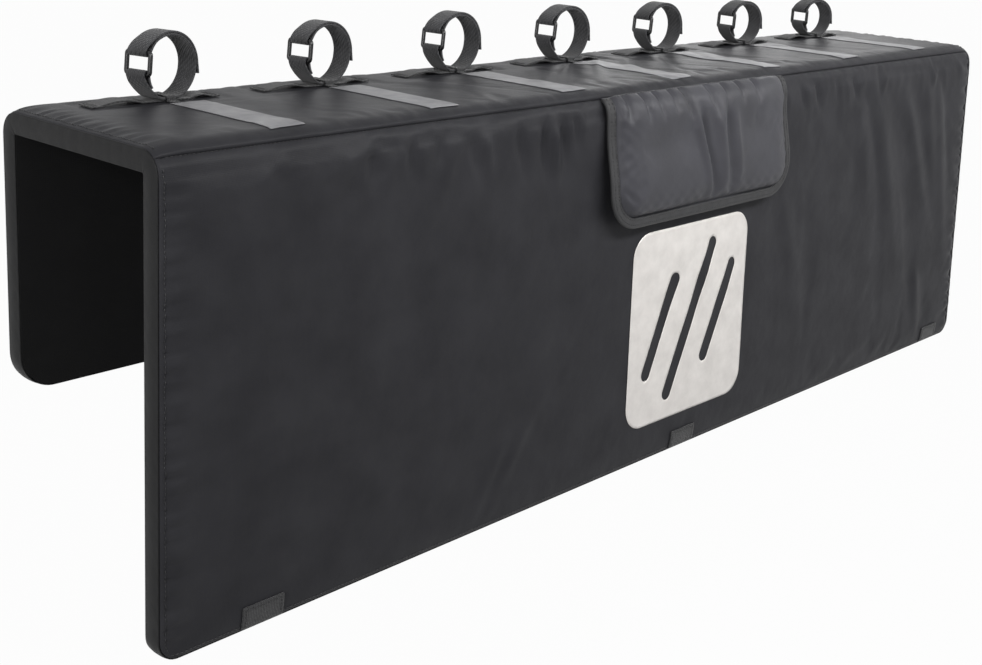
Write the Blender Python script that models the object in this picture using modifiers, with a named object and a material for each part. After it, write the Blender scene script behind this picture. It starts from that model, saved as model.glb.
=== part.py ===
"""Tailgate bike pad: a padded blanket that hangs over a pickup's tailgate.

The long front panel hangs outside, the short rear panel inside, and hook-and-loop
straps along the top hold the bikes. +X runs along the tailgate, -Y is the outside and
+Z is up. The origin is the middle of the face that rests on the tailgate's top edge.
"""

import math

import bmesh
import bpy
from mathutils import Matrix, Vector

# Size of the blanket as it hangs, measured on its seams.
LENGTH = 1.575
DEPTH = 0.264
FRONT_DROP = 0.4845
REAR_DROP = 0.289
THICKNESS = 0.0214
INNER_BEND = 0.002
FRONT_FLARE = math.radians(1.2)
REAR_FLARE = 0.0
HEM_SPREAD = 0.0086
FRONT_CORNER = 0.022
REAR_CORNER = 0.038

# Cloth, its stuffing and the clearance between touching pieces.
CLEARANCE = 0.0003
FABRIC = 0.0012
PUFF = 0.005
PUFF_EDGE = 0.035

# Gathers of the front cover beside the flap.
GATHER_DEPTH = 0.0022
GATHER_PITCH = 0.078
GATHER_FADE = 0.03
GATHER_REACH = 0.30
GATHER_START = 0.02

# Opening for the tailgate's handle, and the flap over it.
HANDLE_X = 0.0196
WINDOW_WIDTH = 0.300
WINDOW_HEIGHT = 0.084
WINDOW_RADIUS = 0.018
WINDOW_BELOW_SEAM = 0.040
WINDOW_TAPE = 0.0012
FLAP_WIDTH = 0.385
FLAP_DROP = 0.157
FLAP_CORNER = 0.048
FLAP_FABRIC = 0.001
FLAP_PUFF = 0.012
FLAP_PUFF_EDGE = 0.04
FLAP_GATHER = 0.002
FLAP_GATHER_PITCH = 0.046
FLAP_GATHER_FADE = 0.05
FLAP_FOAM_INSET = 0.007
BINDING_LIP = 0.012
BINDING_TAPE = 0.0012
FASTENER_TAPE = 0.0015
FASTENER_HEIGHT = 0.016
FASTENER_WIDTH = 0.22
FASTENER_ABOVE_EDGE = 0.0225

# Bike straps.
STRAPS = 7
STRAP_PITCH = 0.2114
STRAP_Y = 0.076
STRAP_WIDTH = 0.025
STRAP_THICKNESS = 0.0024
RING_HALF_WIDTH = 0.0385
RING_HALF_HEIGHT = 0.0345
RING_FLAT = 0.0016
RING_CLOSED = (0.97, 0.97, 1.0, 1.0, 0.95, 0.88, 0.82)
RING_OFFSET = -0.005
STRAP_FAN = math.radians(4.2)
UPPER_BAR_ANGLE = 150
BLEND_ANGLE = 30
TAIL_FLARE = 0.0028

# Buckle loop on each strap.
BUCKLE_HEIGHT = 0.0225
BUCKLE_ROD = 0.0045
BUCKLE_SIDE_GAP = 0.001
BUCKLE_CORNER = 0.0029

# Webbing that each strap is sewn and looped to.
WEBBING = 0.0016
ANCHOR_WIDTH = 0.025
ANCHOR_LEFT = 0.095
ANCHOR_RIGHT = 0.058
LOOP_LENGTH = 0.048
LOOP_HEIGHT = 0.0036
TAB_LOOP_LENGTH = 0.026
TAB_LOOP_HEIGHT = 0.0026
BARTACK = 0.010
KEEPER_WIDTH = 0.011
KEEPER_FOOT = 0.010
KEEPER_THICKNESS = 0.0014

# Reflective stripes on the top and reflective panel on the front.
STRIPE_WIDTH = 0.042
STRIPE_OFFSET = 0.006
STRIPE_FRONT = 0.014
STRIPE_REAR_GAP = 0.002
FILM = 0.0004
EMBLEM_WIDTH = 0.25
EMBLEM_HEIGHT = 0.256
EMBLEM_RADIUS = 0.032
EMBLEM_ABOVE_HEM = 0.050
EMBLEM_SLOTS = 3
EMBLEM_SLOT_WIDTH = 0.018
EMBLEM_SLOT_MARGIN = 0.026
EMBLEM_SLANT = math.radians(24)

# Webbing tabs sewn to the front hem, for the hold-down straps.
HEM_TAB_WIDTH = 0.050
HEM_TAB_HEIGHT = 0.025
HEM_TAB_SPACING = 0.690

# The blanket's section: two straight panels and the top, joined by round bends.
OUTER_BEND = INNER_BEND + THICKNESS
BEND_Y = DEPTH / 2 - OUTER_BEND
FRONT_RUN = (FRONT_DROP - OUTER_BEND + OUTER_BEND * math.sin(FRONT_FLARE)) / math.cos(FRONT_FLARE)
REAR_RUN = (REAR_DROP - OUTER_BEND + OUTER_BEND * math.sin(REAR_FLARE)) / math.cos(REAR_FLARE)
FRONT_ARC = OUTER_BEND * (math.pi / 2 - FRONT_FLARE)
REAR_ARC = OUTER_BEND * (math.pi / 2 - REAR_FLARE)
TOP_START = FRONT_RUN + FRONT_ARC
TOP_END = TOP_START + 2 * BEND_Y
REAR_START = TOP_END + REAR_ARC
GIRTH = REAR_START + REAR_RUN
FRONT_SEAM = FRONT_RUN + FRONT_ARC / 2
REAR_SEAM = TOP_END + REAR_ARC / 2

FLAP_LOW = FRONT_SEAM - FLAP_DROP
FLAP_LIP = BINDING_LIP + BINDING_TAPE

# Inset of the panels' edges from the outline, behind the boxing strip.
INSET = FABRIC + CLEARANCE
ROUND_STEPS = (0.0, 0.1, 0.3, 0.6, 1.0)
CORNER_STEPS = 4


def turned(flare, side, angle):
    """Outward direction on a bend, the angle counted up from the hanging panel."""
    return Vector((0, side * math.cos(flare + angle), math.sin(flare + angle)))


def fold(x, s, level):
    """Point at x along the pad and s along its outer face from the front hem.

    level is the height above the outer face, so -THICKNESS is the lining's face.
    """
    front_side = -1
    rear_side = 1
    if s < TOP_START:
        bend = Vector((0, -BEND_Y, -INNER_BEND))
        hang = max(0.0, FRONT_RUN - s)
        angle = max(0.0, s - FRONT_RUN) / OUTER_BEND
        flare = FRONT_FLARE
        side = front_side
        spread = 1 + HEM_SPREAD / (LENGTH / 2) * hang / FRONT_RUN
    elif s > TOP_END:
        bend = Vector((0, BEND_Y, -INNER_BEND))
        hang = max(0.0, s - REAR_START)
        angle = max(0.0, REAR_START - s) / OUTER_BEND
        flare = REAR_FLARE
        side = rear_side
        spread = 1
    else:
        return Vector((x, s - TOP_START - BEND_Y, THICKNESS + level))
    down = Vector((0, side * math.sin(flare), -math.cos(flare)))
    point = bend + (OUTER_BEND + level) * turned(flare, side, angle) + hang * down
    return Vector((x * spread, point.y, point.z))


def laid_on(x, s, level):
    """Matrix of a frame on the outer face: X along the pad, Y along s and Z outward."""
    origin = fold(x, s, level)
    step = 1e-4
    along = (fold(x, s + step, level) - fold(x, s - step, level)).normalized()
    across = Vector((1, 0, 0))
    along = (along - across * along.dot(across)).normalized()
    out = across.cross(along)
    matrix = Matrix((across, along, out)).transposed().to_4x4()
    matrix.translation = origin
    return matrix


def corner_heights(radius, start=0.0):
    """Heights of a round corner's points above the hem, from start upwards."""
    turns = [math.pi / 2 * step / CORNER_STEPS for step in reversed(range(CORNER_STEPS + 1))]
    return [start + turn_height(turn, radius) for turn in turns]


def corner_cut(height, radius):
    """How far a round corner steps in at a height above the hem, along its chords."""
    if height >= radius:
        return 0.0
    height = max(height, 0.0)
    step = math.pi / 2 / CORNER_STEPS
    turn = math.asin(1 - height / radius)
    near = step * min(int(turn / step), CORNER_STEPS - 1)
    far = near + step
    upper = turn_height(near, radius)
    share = (upper - height) / (upper - turn_height(far, radius))
    return radius * (1 - math.cos(near) * (1 - share) - math.cos(far) * share)


def turn_height(turn, radius):
    """Height above the hem of a corner's point, the turn counted from the upright side."""
    return radius * (1 - math.sin(turn))


def half_length(s, inset=0.0):
    """Half the pad's length at s, for an outline that lies inset from the edge."""
    front = corner_cut(s - inset, FRONT_CORNER - inset)
    rear = corner_cut(GIRTH - s - inset, REAR_CORNER - inset)
    return LENGTH / 2 - inset - front - rear


def rounded(edge, width):
    """0 at an edge, rising as a quarter ellipse to 1 at width from it."""
    share = min(max(edge / width, 0.0), 1.0)
    return math.sqrt(1 - (1 - share) ** 2)


def puff(x, s, start, end):
    """Height of the stuffed panel over its seams, between start and end."""
    ends = rounded(half_length(s, INSET) - abs(x), PUFF_EDGE)
    sides = rounded(min(s - start, end - s), PUFF_EDGE)
    return PUFF * ends * sides


def graded(low, high, edge, inner):
    """Values from low to high, close together within edge of both ends, inner between."""
    near = [low + edge * step for step in ROUND_STEPS]
    far = [high - edge * step for step in reversed(ROUND_STEPS)]
    return near + inner + far


def evenly(low, high, count):
    """count values spaced evenly between low and high, without the ends."""
    return [low + (high - low) * (k + 1) / (count + 1) for k in range(count)]


def new_material(name, colour, roughness, metallic=0.0):
    """A Principled material with one colour."""
    material = bpy.data.materials.new(name)
    material.use_nodes = True
    shader = material.node_tree.nodes["Principled BSDF"]
    shader.inputs["Base Color"].default_value = (*colour, 1.0)
    shader.inputs["Roughness"].default_value = roughness
    shader.inputs["Metallic"].default_value = metallic
    return material


def add_object(name, data, material, collection, matrix=None):
    """Puts mesh or curve data into the collection under a name."""
    if not data.materials:
        data.materials.append(material)
    obj = bpy.data.objects.new(name, data)
    collection.objects.link(obj)
    if matrix is not None:
        obj.matrix_world = matrix
    return obj


def face_outward(bm):
    """Turns all faces of a closed body outward."""
    bmesh.ops.recalc_face_normals(bm, faces=bm.faces)
    if bm.calc_volume(signed=True) < 0:
        bmesh.ops.reverse_faces(bm, faces=bm.faces)


def slab(name, columns, rows, place, outer, inner, material, collection):
    """A closed sheet or block: a grid laid by place, extruded from outer to inner level.

    columns are shares of the half width from -1 to 1 and rows are distances s.
    """
    bm = bmesh.new()
    across = len(columns) - 1
    along = len(rows) - 1
    bmesh.ops.create_grid(bm, x_segments=across, y_segments=along, size=1)
    for vert in bm.verts:
        vert.co.z = 0
    lower = bmesh.ops.extrude_face_region(bm, geom=bm.faces[:])
    for item in lower["geom"]:
        if isinstance(item, bmesh.types.BMVert):
            item.co.z = -1
    for vert in bm.verts:
        share = columns[round((vert.co.x + 1) / 2 * across)]
        s = rows[round((vert.co.y + 1) / 2 * along)]
        x, s = place(share, s)
        level = outer if vert.co.z == 0 else inner
        vert.co = fold(x, s, level(x, s))
    face_outward(bm)
    mesh = bpy.data.meshes.new(name)
    bm.to_mesh(mesh)
    bm.free()
    return add_object(name, mesh, material, collection)


def ribbon_mesh(name, path, across):
    """An open strip: the path's edges extruded by the vector across, centred on it."""
    bm = bmesh.new()
    verts = [bm.verts.new(point - across / 2) for point in path]
    edges = [bm.edges.new(pair) for pair in zip(verts, verts[1:])]
    made = bmesh.ops.extrude_edge_only(bm, edges=edges)
    moved = [item for item in made["geom"] if isinstance(item, bmesh.types.BMVert)]
    bmesh.ops.translate(bm, verts=moved, vec=across)
    mesh = bpy.data.meshes.new(name)
    bm.to_mesh(mesh)
    bm.free()
    return mesh


def thicken(obj, thickness, offset=0.0):
    """Gives an open surface its wall."""
    solidify = obj.modifiers.new("wall", "SOLIDIFY")
    solidify.thickness = thickness
    solidify.offset = offset
    solidify.use_even_offset = True
    return obj


def round_rectangle(width, height, radius, steps=4):
    """Points of a rectangle with round corners, anticlockwise."""
    points = []
    for quarter, (sx, sy) in enumerate(((1, 1), (-1, 1), (-1, -1), (1, -1))):
        centre = (sx * (width / 2 - radius), sy * (height / 2 - radius))
        for step in range(steps + 1):
            angle = math.pi / 2 * (quarter + step / steps)
            points.append((centre[0] + radius * math.cos(angle), centre[1] + radius * math.sin(angle)))
    return points


def plate_curve(name, outlines, thickness):
    """A flat plate from closed outlines, the first the edge and the others holes."""
    curve = bpy.data.curves.new(name, "CURVE")
    curve.dimensions = "2D"
    curve.fill_mode = "BOTH"
    curve.extrude = thickness / 2
    for outline in outlines:
        spline = curve.splines.new("POLY")
        spline.points.add(len(outline) - 1)
        for point, (x, y) in zip(spline.points, outline):
            point.co = (x, y, 0, 1)
        spline.use_cyclic_u = True
    return curve


def panel(name, start, end, thickness_out, thickness_in, fine, material, collection, gathers=None):
    """One cloth or foam layer of a panel, from seam or hem to seam or hem."""
    columns = graded(-1.0, 1.0, PUFF_EDGE / (LENGTH / 2), fine)
    rows = panel_rows(start, end)

    def place(share, s):
        return share * half_length(s, INSET), s

    def outer(x, s):
        extra = gathers(x, s) if gathers else 0.0
        return puff(x, s, start, end) + extra + thickness_out

    def inner(x, s):
        if thickness_in is None:
            return -THICKNESS + INSET
        extra = gathers(x, s) if gathers else 0.0
        return puff(x, s, start, end) + extra - thickness_in

    return slab(name, columns, rows, place, outer, inner, material, collection)


def panel_rows(start, end):
    """Row distances of a panel, with a row where a bend meets the flat."""
    low = [start + PUFF_EDGE * step for step in ROUND_STEPS]
    high = [end - PUFF_EDGE * step for step in ROUND_STEPS]
    if start == INSET:
        low = corner_heights(FRONT_CORNER - INSET, INSET) + low[-1:]
    if end == GIRTH - INSET:
        high = [GIRTH - height for height in corner_heights(REAR_CORNER - INSET, INSET)]
    bends = [s for s in (FRONT_RUN, TOP_START, TOP_END, REAR_START) if start < s < end]
    return sorted(low + evenly(max(low), min(high), 1) + high + bends)


def front_gathers(x, s):
    """Upright puckers under the front seam on both sides of the flap."""
    away = abs(x - HANDLE_X) - FLAP_WIDTH / 2 - GATHER_START
    if away <= 0 or away >= GATHER_REACH:
        return 0.0
    envelope = math.sin(math.pi * away / GATHER_REACH)
    wave = 0.5 - 0.5 * math.cos(2 * math.pi * away / GATHER_PITCH)
    drop = FRONT_SEAM - s
    fade = math.exp(-drop / GATHER_FADE) * rounded(drop, GATHER_FADE / 3)
    return GATHER_DEPTH * envelope * wave * fade


def gather_columns():
    """Shares of the half length with four columns to each pucker."""
    inner = FLAP_WIDTH / 2 + GATHER_START
    count = round(4 * GATHER_REACH / GATHER_PITCH)
    steps = [inner + GATHER_REACH * k / count for k in range(count + 1)]
    left = [(HANDLE_X - step) / (LENGTH / 2) for step in reversed(steps)]
    right = [(HANDLE_X + step) / (LENGTH / 2) for step in steps]
    return left + right


def make_blanket(mats, collection):
    """The three stuffed panels: covers outside, foam between and one lining inside."""
    wide = evenly(-1.0, 1.0, 5)
    half_gap = CLEARANCE / 2
    spans = {
        "front": (INSET, FRONT_SEAM - half_gap),
        "top": (FRONT_SEAM + half_gap, REAR_SEAM - half_gap),
        "rear": (REAR_SEAM + half_gap, GIRTH - INSET),
    }
    made = {}
    for side, (start, end) in spans.items():
        gathers = front_gathers if side == "front" else None
        fine = gather_columns() if side == "front" else wide
        made[side + "_cover"] = panel(
            side + "_cover", start, end, 0.0, FABRIC, fine, mats["cover"], collection, gathers
        )
        made[side + "_foam"] = panel(
            side + "_foam", start, end, -FABRIC - CLEARANCE, None, wide, mats["foam"], collection
        )
    made["lining"] = make_lining(mats["lining"], collection)
    return made


def make_lining(material, collection):
    """One sheet of lining that follows the whole inside of the pad."""
    bends = []
    for start, end in ((FRONT_RUN, TOP_START), (TOP_END, REAR_START)):
        bends += [start] + evenly(start, end, 2) + [end]
    front = corner_heights(FRONT_CORNER - INSET, INSET)
    rear = [GIRTH - height for height in reversed(corner_heights(REAR_CORNER - INSET, INSET))]

    def place(share, s):
        return share * half_length(s, INSET), s

    def outer(x, s):
        return -THICKNESS + FABRIC

    def inner(x, s):
        return -THICKNESS

    return slab("lining", [-1.0, 1.0], front + bends + rear, place, outer, inner, material, collection)


def make_boxing(material, collection):
    """The strip that closes the pad's edge all round, one closed loop of cloth."""
    rises = [s for s in (FRONT_RUN, TOP_START, TOP_END, REAR_START)]
    bends = evenly(FRONT_RUN, TOP_START, 3) + evenly(TOP_END, REAR_START, 3)
    side = sorted(rises + bends)
    front = corner_heights(FRONT_CORNER)
    rear = [GIRTH - height for height in reversed(corner_heights(REAR_CORNER))]
    right = [(half_length(s), s) for s in front + side + rear]
    left = [(-x, s) for x, s in reversed(right)]
    outline = right + left
    bm = bmesh.new()
    ring = bmesh.ops.create_circle(bm, segments=len(outline), radius=1)["verts"]
    ring.sort(key=lambda vert: math.atan2(vert.co.y, vert.co.x))
    place = {vert: spot for vert, spot in zip(ring, outline)}
    made = bmesh.ops.extrude_edge_only(bm, edges=bm.edges[:])
    lower = [item for item in made["geom"] if isinstance(item, bmesh.types.BMVert)]
    lower.sort(key=lambda vert: math.atan2(vert.co.y, vert.co.x))
    for vert, spot in zip(lower, outline):
        vert.co = fold(*spot, -THICKNESS)
    for vert, spot in place.items():
        vert.co = fold(*spot, 0.0)
    bmesh.ops.recalc_face_normals(bm, faces=bm.faces)
    mesh = bpy.data.meshes.new("edge_boxing")
    bm.to_mesh(mesh)
    bm.free()
    return thicken(add_object("edge_boxing", mesh, material, collection), FABRIC, -1.0)


def as_mesh(obj, collection):
    """Turns a curve object into a mesh object of the same name, caps welded on."""
    bpy.context.view_layer.update()
    evaluated = obj.evaluated_get(bpy.context.evaluated_depsgraph_get())
    mesh = bpy.data.meshes.new_from_object(evaluated)
    bm = bmesh.new()
    bm.from_mesh(mesh)
    bmesh.ops.remove_doubles(bm, verts=bm.verts, dist=1e-6)
    face_outward(bm)
    bm.to_mesh(mesh)
    bm.free()
    name = obj.name
    matrix = obj.matrix_world.copy()
    bpy.data.objects.remove(obj)
    solid = bpy.data.objects.new(name, mesh)
    solid.matrix_world = matrix
    collection.objects.link(solid)
    return solid


def cut_window(blanket, mats, collection, cutters):
    """Opens the front panel for the handle, and binds the cut edge with tape."""
    s = FRONT_SEAM - WINDOW_BELOW_SEAM - WINDOW_HEIGHT / 2
    through = THICKNESS + PUFF
    middle = laid_on(HANDLE_X, s, (PUFF - THICKNESS) / 2)
    clear = round_rectangle(WINDOW_WIDTH, WINDOW_HEIGHT, WINDOW_RADIUS)
    grow = 2 * WINDOW_TAPE
    tape = round_rectangle(WINDOW_WIDTH + grow, WINDOW_HEIGHT + grow, WINDOW_RADIUS + WINDOW_TAPE)
    grow += 2 * CLEARANCE
    radius = WINDOW_RADIUS + WINDOW_TAPE + CLEARANCE
    cut = round_rectangle(WINDOW_WIDTH + grow, WINDOW_HEIGHT + grow, radius)
    curve = plate_curve("window_cutter", [cut], 3 * through)
    cutter = add_object("window_cutter", curve, mats["binding"], cutters, middle)
    cutter = as_mesh(cutter, cutters)
    cutter.hide_render = True
    cutter.display_type = "WIRE"
    for name in ("front_cover", "front_foam", "lining"):
        boolean = blanket[name].modifiers.new("window", "BOOLEAN")
        boolean.operation = "DIFFERENCE"
        boolean.object = cutter
    frame = plate_curve("window_binding", [tape, clear], through)
    return add_object("window_binding", frame, mats["binding"], collection, middle)


def flap_back(x, s):
    """Level of the flap's back: sewn at the seam, then clear of the cover and the tapes."""
    stand = PUFF + 2 * (FASTENER_TAPE + CLEARANCE)
    return CLEARANCE + stand * rounded(FRONT_SEAM - s, PUFF_EDGE)


def flap_half(s, inset=0.0):
    """Half the flap's width at s, with its round lower corners."""
    height = s - FLAP_LOW - inset
    return FLAP_WIDTH / 2 - inset - corner_cut(height, FLAP_CORNER - inset)


def flap_stuffed(x, s):
    """Share of the flap's full stuffing: none under the binding or at the seam."""
    aside = abs(x - HANDLE_X) - FLAP_WIDTH / 2 + FLAP_CORNER
    below = FLAP_LOW + FLAP_CORNER - s
    if aside > 0 and below > 0:
        edge = FLAP_CORNER - math.hypot(aside, below)
    else:
        edge = FLAP_CORNER - max(aside, below)
    inside = rounded(edge - FLAP_LIP - BINDING_TAPE, FLAP_PUFF_EDGE)
    return inside * rounded(FRONT_SEAM - s, FLAP_PUFF_EDGE)


def flap_front(x, s):
    """Level of the flap's face before its folds: flat under the binding, stuffed inside it."""
    return flap_back(x, s) + 2 * FLAP_FABRIC + CLEARANCE + FLAP_PUFF * flap_stuffed(x, s)


def flap_gathers(x, s):
    """Upright folds that run down the flap's face from the seam."""
    drop = FRONT_SEAM - s
    wave = 0.5 + 0.5 * math.cos(2 * math.pi * (x - HANDLE_X) / FLAP_GATHER_PITCH)
    fade = math.exp(-drop / FLAP_GATHER_FADE) * rounded(drop, FLAP_PUFF_EDGE / 4)
    side = flap_half(s) - abs(x - HANDLE_X) - FLAP_LIP
    return FLAP_GATHER * wave * fade * rounded(side, FLAP_PUFF_EDGE)


def flap_rows():
    """Row distances of the flap: up its corners, past the binding's lip and to the seam."""
    high = FRONT_SEAM - CLEARANCE
    lip = [FLAP_LOW + FLAP_LIP, FLAP_LOW + FLAP_LIP + FLAP_FOAM_INSET]
    corner = corner_heights(FLAP_CORNER - CLEARANCE, FLAP_LOW + CLEARANCE)
    corner = [s for s in corner if abs(s - lip[0]) > BINDING_TAPE]
    upper = [high - FLAP_PUFF_EDGE * step for step in ROUND_STEPS]
    return sorted(corner + lip + evenly(max(corner), min(upper), 1) + upper + [FRONT_RUN])


def flap_layer(name, columns, rows, outer, inner, material, collection):
    """One layer of the flap. Columns 1 and -1 lie at the binding's lip and 2 and -2 at
    the flap's edge."""

    def place(column, s):
        side = math.copysign(1, column)
        if abs(column) > 1:
            return HANDLE_X + side * flap_half(s, CLEARANCE), s
        under = max(0.0, FLAP_LOW + FLAP_LIP - s)
        return HANDLE_X + column * (flap_half(s, FLAP_LIP) - under / 2), s

    return slab(name, columns, rows, place, outer, inner, material, collection)


def make_flap(mats, collection):
    """The stuffed flap over the handle window, with its binding and fastener tapes."""
    lip_half = FLAP_WIDTH / 2 - FLAP_LIP
    share = FLAP_PUFF_EDGE / lip_half
    first = 1 - FLAP_FOAM_INSET / lip_half
    side = [1.0 - share, 1.0 - share * 0.6, first]
    count = round(4 * 2 * (1 - share) * lip_half / FLAP_GATHER_PITCH) - 1
    folds = evenly(share - 1.0, 1.0 - share, count)
    core = [-column for column in reversed(side)] + side
    plain = [-2.0, -1.0] + core + [1.0, 2.0]
    rows = flap_rows()

    def face(x, s):
        return flap_front(x, s) + flap_gathers(x, s)

    def face_inside(x, s):
        return face(x, s) - FLAP_FABRIC

    def back_inside(x, s):
        return flap_back(x, s) + FLAP_FABRIC

    def foam_face(x, s):
        return flap_front(x, s) - FLAP_FABRIC - CLEARANCE

    def foam_back(x, s):
        return back_inside(x, s) + CLEARANCE

    columns = sorted(plain + folds)
    flap_layer("flap_cover", columns, rows, face, face_inside, mats["cover"], collection)
    flap_layer("flap_lining", plain, rows, back_inside, flap_back, mats["lining"], collection)
    stuffed = [s for s in rows if s > FLAP_LOW + FLAP_LIP][:-1]
    flap_layer("flap_foam", core, stuffed, foam_face, foam_back, mats["foam"], collection)
    make_flap_binding(rows, mats["binding"], collection)
    level = PUFF + CLEARANCE + FASTENER_TAPE / 2
    s = FLAP_LOW + FASTENER_ABOVE_EDGE
    outline = round_rectangle(FASTENER_WIDTH, FASTENER_HEIGHT, FASTENER_TAPE)
    for name in ("flap_loop_tape", "flap_hook_tape"):
        curve = plate_curve(name, [outline], FASTENER_TAPE)
        add_object(name, curve, mats["fastener"], collection, laid_on(HANDLE_X, s, level))
        level += FASTENER_TAPE + CLEARANCE


def make_flap_binding(rows, material, collection):
    """Tape folded over the flap's three free edges."""
    side = [s for s in rows[:-1] if s > FLAP_LOW + FLAP_CORNER + CLEARANCE]
    heights = corner_heights(FLAP_CORNER, FLAP_LOW) + side
    right = [(flap_half(s), s) for s in heights]
    path = [(-x, s) for x, s in reversed(right)] + right
    profile = ((BINDING_LIP, 1), (0.0, 1), (0.0, -1), (BINDING_LIP, -1))
    bm = bmesh.new()
    across = len(profile) - 1
    along = len(path) - 1
    bmesh.ops.create_grid(bm, x_segments=across, y_segments=along, size=1)
    for vert in bm.verts:
        lip, face = profile[round((vert.co.x + 1) / 2 * across)]
        k = round((vert.co.y + 1) / 2 * along)
        inward = inward_from(path, k)
        x = HANDLE_X + path[k][0] + inward[0] * lip
        s = path[k][1] + inward[1] * lip
        back = flap_back(x, s)
        level = back - CLEARANCE if face < 0 else back + 2 * (FLAP_FABRIC + CLEARANCE)
        vert.co = fold(x, s, level)
    mesh = bpy.data.meshes.new("flap_binding")
    bm.to_mesh(mesh)
    bm.free()
    obj = add_object("flap_binding", mesh, material, collection)
    return thicken(obj, BINDING_TAPE, 1.0)


def inward_from(path, k):
    """Unit direction from a point of an open outline towards the flap's middle."""
    before = path[max(k - 1, 0)]
    after = path[min(k + 1, len(path) - 1)]
    run = (after[0] - before[0], after[1] - before[1])
    size = math.hypot(*run)
    return (-run[1] / size, run[0] / size)


def ring_point(closed, angle, offset):
    """Point at an angle on a strap's ring, offset outward from its inner layer.

    closed is the ring's size as a share of the widest one.
    """
    radians = math.radians(angle)
    x = closed * RING_HALF_WIDTH * math.cos(radians)
    z = closed * RING_HALF_HEIGHT * math.sin(radians)
    floor = RING_FLAT - closed * RING_HALF_HEIGHT
    return Vector((x, 0, max(z, floor))) + ring_normal(angle) * offset


def ring_normal(angle):
    """Outward direction of the strap's ring at an angle."""
    radians = math.radians(angle)
    x = math.cos(radians) / RING_HALF_WIDTH
    z = math.sin(radians) / RING_HALF_HEIGHT
    return Vector((x, 0, z)).normalized()


def blend_to_bar(angle, bar_angle, far_offset, bar_offset):
    """Offset of a layer that leaves the ring's line near a buckle bar."""
    share = min(abs(angle - bar_angle) / BLEND_ANGLE, 1.0)
    smooth = share * share * (3 - 2 * share)
    return bar_offset + (far_offset - bar_offset) * smooth


LAYER = STRAP_THICKNESS + CLEARANCE
WRAP_STEPS = 5
WRAP_RADIUS = (BUCKLE_ROD / 2 + CLEARANCE + STRAP_THICKNESS / 2) / math.cos(math.pi / 2 / WRAP_STEPS)


def upper_bar(closed):
    """Middle of the buckle's upper bar in the ring's plane."""
    return ring_point(closed, UPPER_BAR_ANGLE, LAYER / 2)


def lower_bar_angle(closed):
    """Angle at which the lower bar is one buckle height from the upper bar."""
    low = UPPER_BAR_ANGLE
    high = UPPER_BAR_ANGLE + 90
    for _ in range(30):
        middle = (low + high) / 2
        if (ring_point(closed, middle, -LAYER / 2) - upper_bar(closed)).length < BUCKLE_HEIGHT:
            low = middle
        else:
            high = middle
    return low


def wrap(centre, angle, towards):
    """Points round a bar, from its inner side past the window to its outer side."""
    out = ring_normal(angle)
    along = Vector((-out.z, 0, out.x)) * towards
    points = []
    for step in range(WRAP_STEPS + 1):
        turn = math.pi * step / WRAP_STEPS
        points.append(centre + WRAP_RADIUS * (along * math.sin(turn) - out * math.cos(turn)))
    return points


def strap_path(closed):
    """Middle line of the strap: sewn round the lower bar, down under the ring, up and
    over, through the buckle, and back over itself to its loose end."""
    low = lower_bar_angle(closed)
    near = (10, 20, 30)
    tail = []
    rise = []
    for step in near:
        inside = blend_to_bar(low + step, low, -LAYER, -LAYER / 2 - WRAP_RADIUS)
        outside = blend_to_bar(low + step, low, 0.0, WRAP_RADIUS - LAYER / 2)
        tail.insert(0, ring_point(closed, low + step, inside))
        rise.append(ring_point(closed, low + step, outside))
    bottom = [ring_point(closed, angle, 0.0) for angle in (234, 245, 255, 270, 285, 300, 315, 330, 345)]
    inner = []
    outer = []
    for angle in (0, 15, 30, 45, 60, 75, 90, 105, 120, 130, 140):
        inside = blend_to_bar(angle, UPPER_BAR_ANGLE, 0.0, LAYER / 2 - WRAP_RADIUS)
        outside = blend_to_bar(angle, UPPER_BAR_ANGLE, LAYER, LAYER / 2 + WRAP_RADIUS)
        inner.append(ring_point(closed, angle, inside))
        outer.insert(0, ring_point(closed, angle, outside))
    loose = [
        ring_point(closed, -7, LAYER + TAIL_FLARE / 3),
        ring_point(closed, -15, LAYER + TAIL_FLARE),
    ]
    down = wrap(ring_point(closed, low, -LAYER / 2), low, -1)
    back = wrap(upper_bar(closed), UPPER_BAR_ANGLE, 1)
    return tail + down + rise + bottom + inner + back + outer + loose


def loop_of_webbing(length, height, start):
    """Arched stretch of webbing: sewn flat at both ends and raised between."""
    points = []
    for step in range(1, 6):
        share = step / 6
        rise = math.sin(math.pi * share) ** 0.8
        points.append(Vector((start + length * share, 0, height * rise)))
    return points


def anchor_path():
    """Side view of the webbing under one strap, from its empty loop to its far tab."""
    first = -ANCHOR_LEFT + BARTACK
    last = ANCHOR_RIGHT - BARTACK - TAB_LOOP_LENGTH
    ends = (-ANCHOR_LEFT, first, first + LOOP_LENGTH, last, last + TAB_LOOP_LENGTH, ANCHOR_RIGHT)
    flat = [Vector((x, 0, 0)) for x in ends]
    loop = loop_of_webbing(LOOP_LENGTH, LOOP_HEIGHT, first)
    tab = loop_of_webbing(TAB_LOOP_LENGTH, TAB_LOOP_HEIGHT, last)
    return flat[:2] + loop + flat[2:4] + tab + flat[4:]


def keeper_wall():
    """Distance of the cross loop's upright sides from the strap's middle line."""
    reach = (STRAP_WIDTH / 2 + KEEPER_WIDTH / 2 * math.sin(FAN_END)) / math.cos(FAN_END)
    return reach + CLEARANCE + KEEPER_THICKNESS / 2 + CLEARANCE


def keeper_path(strap_level):
    """End view of the cross loop: a foot, up, over the strap, down and a foot."""
    wall = keeper_wall()
    top = strap_level + STRAP_THICKNESS / 2 + CLEARANCE + KEEPER_THICKNESS / 2
    foot = CLEARANCE + KEEPER_THICKNESS / 2
    side = ((wall + KEEPER_FOOT, foot), (wall + CLEARANCE, foot), (wall, top))
    return [Vector((0, -y, z)) for y, z in side] + [Vector((0, y, z)) for y, z in reversed(side)]


FAN_END = STRAP_FAN * (STRAPS - 1) / 2


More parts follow.
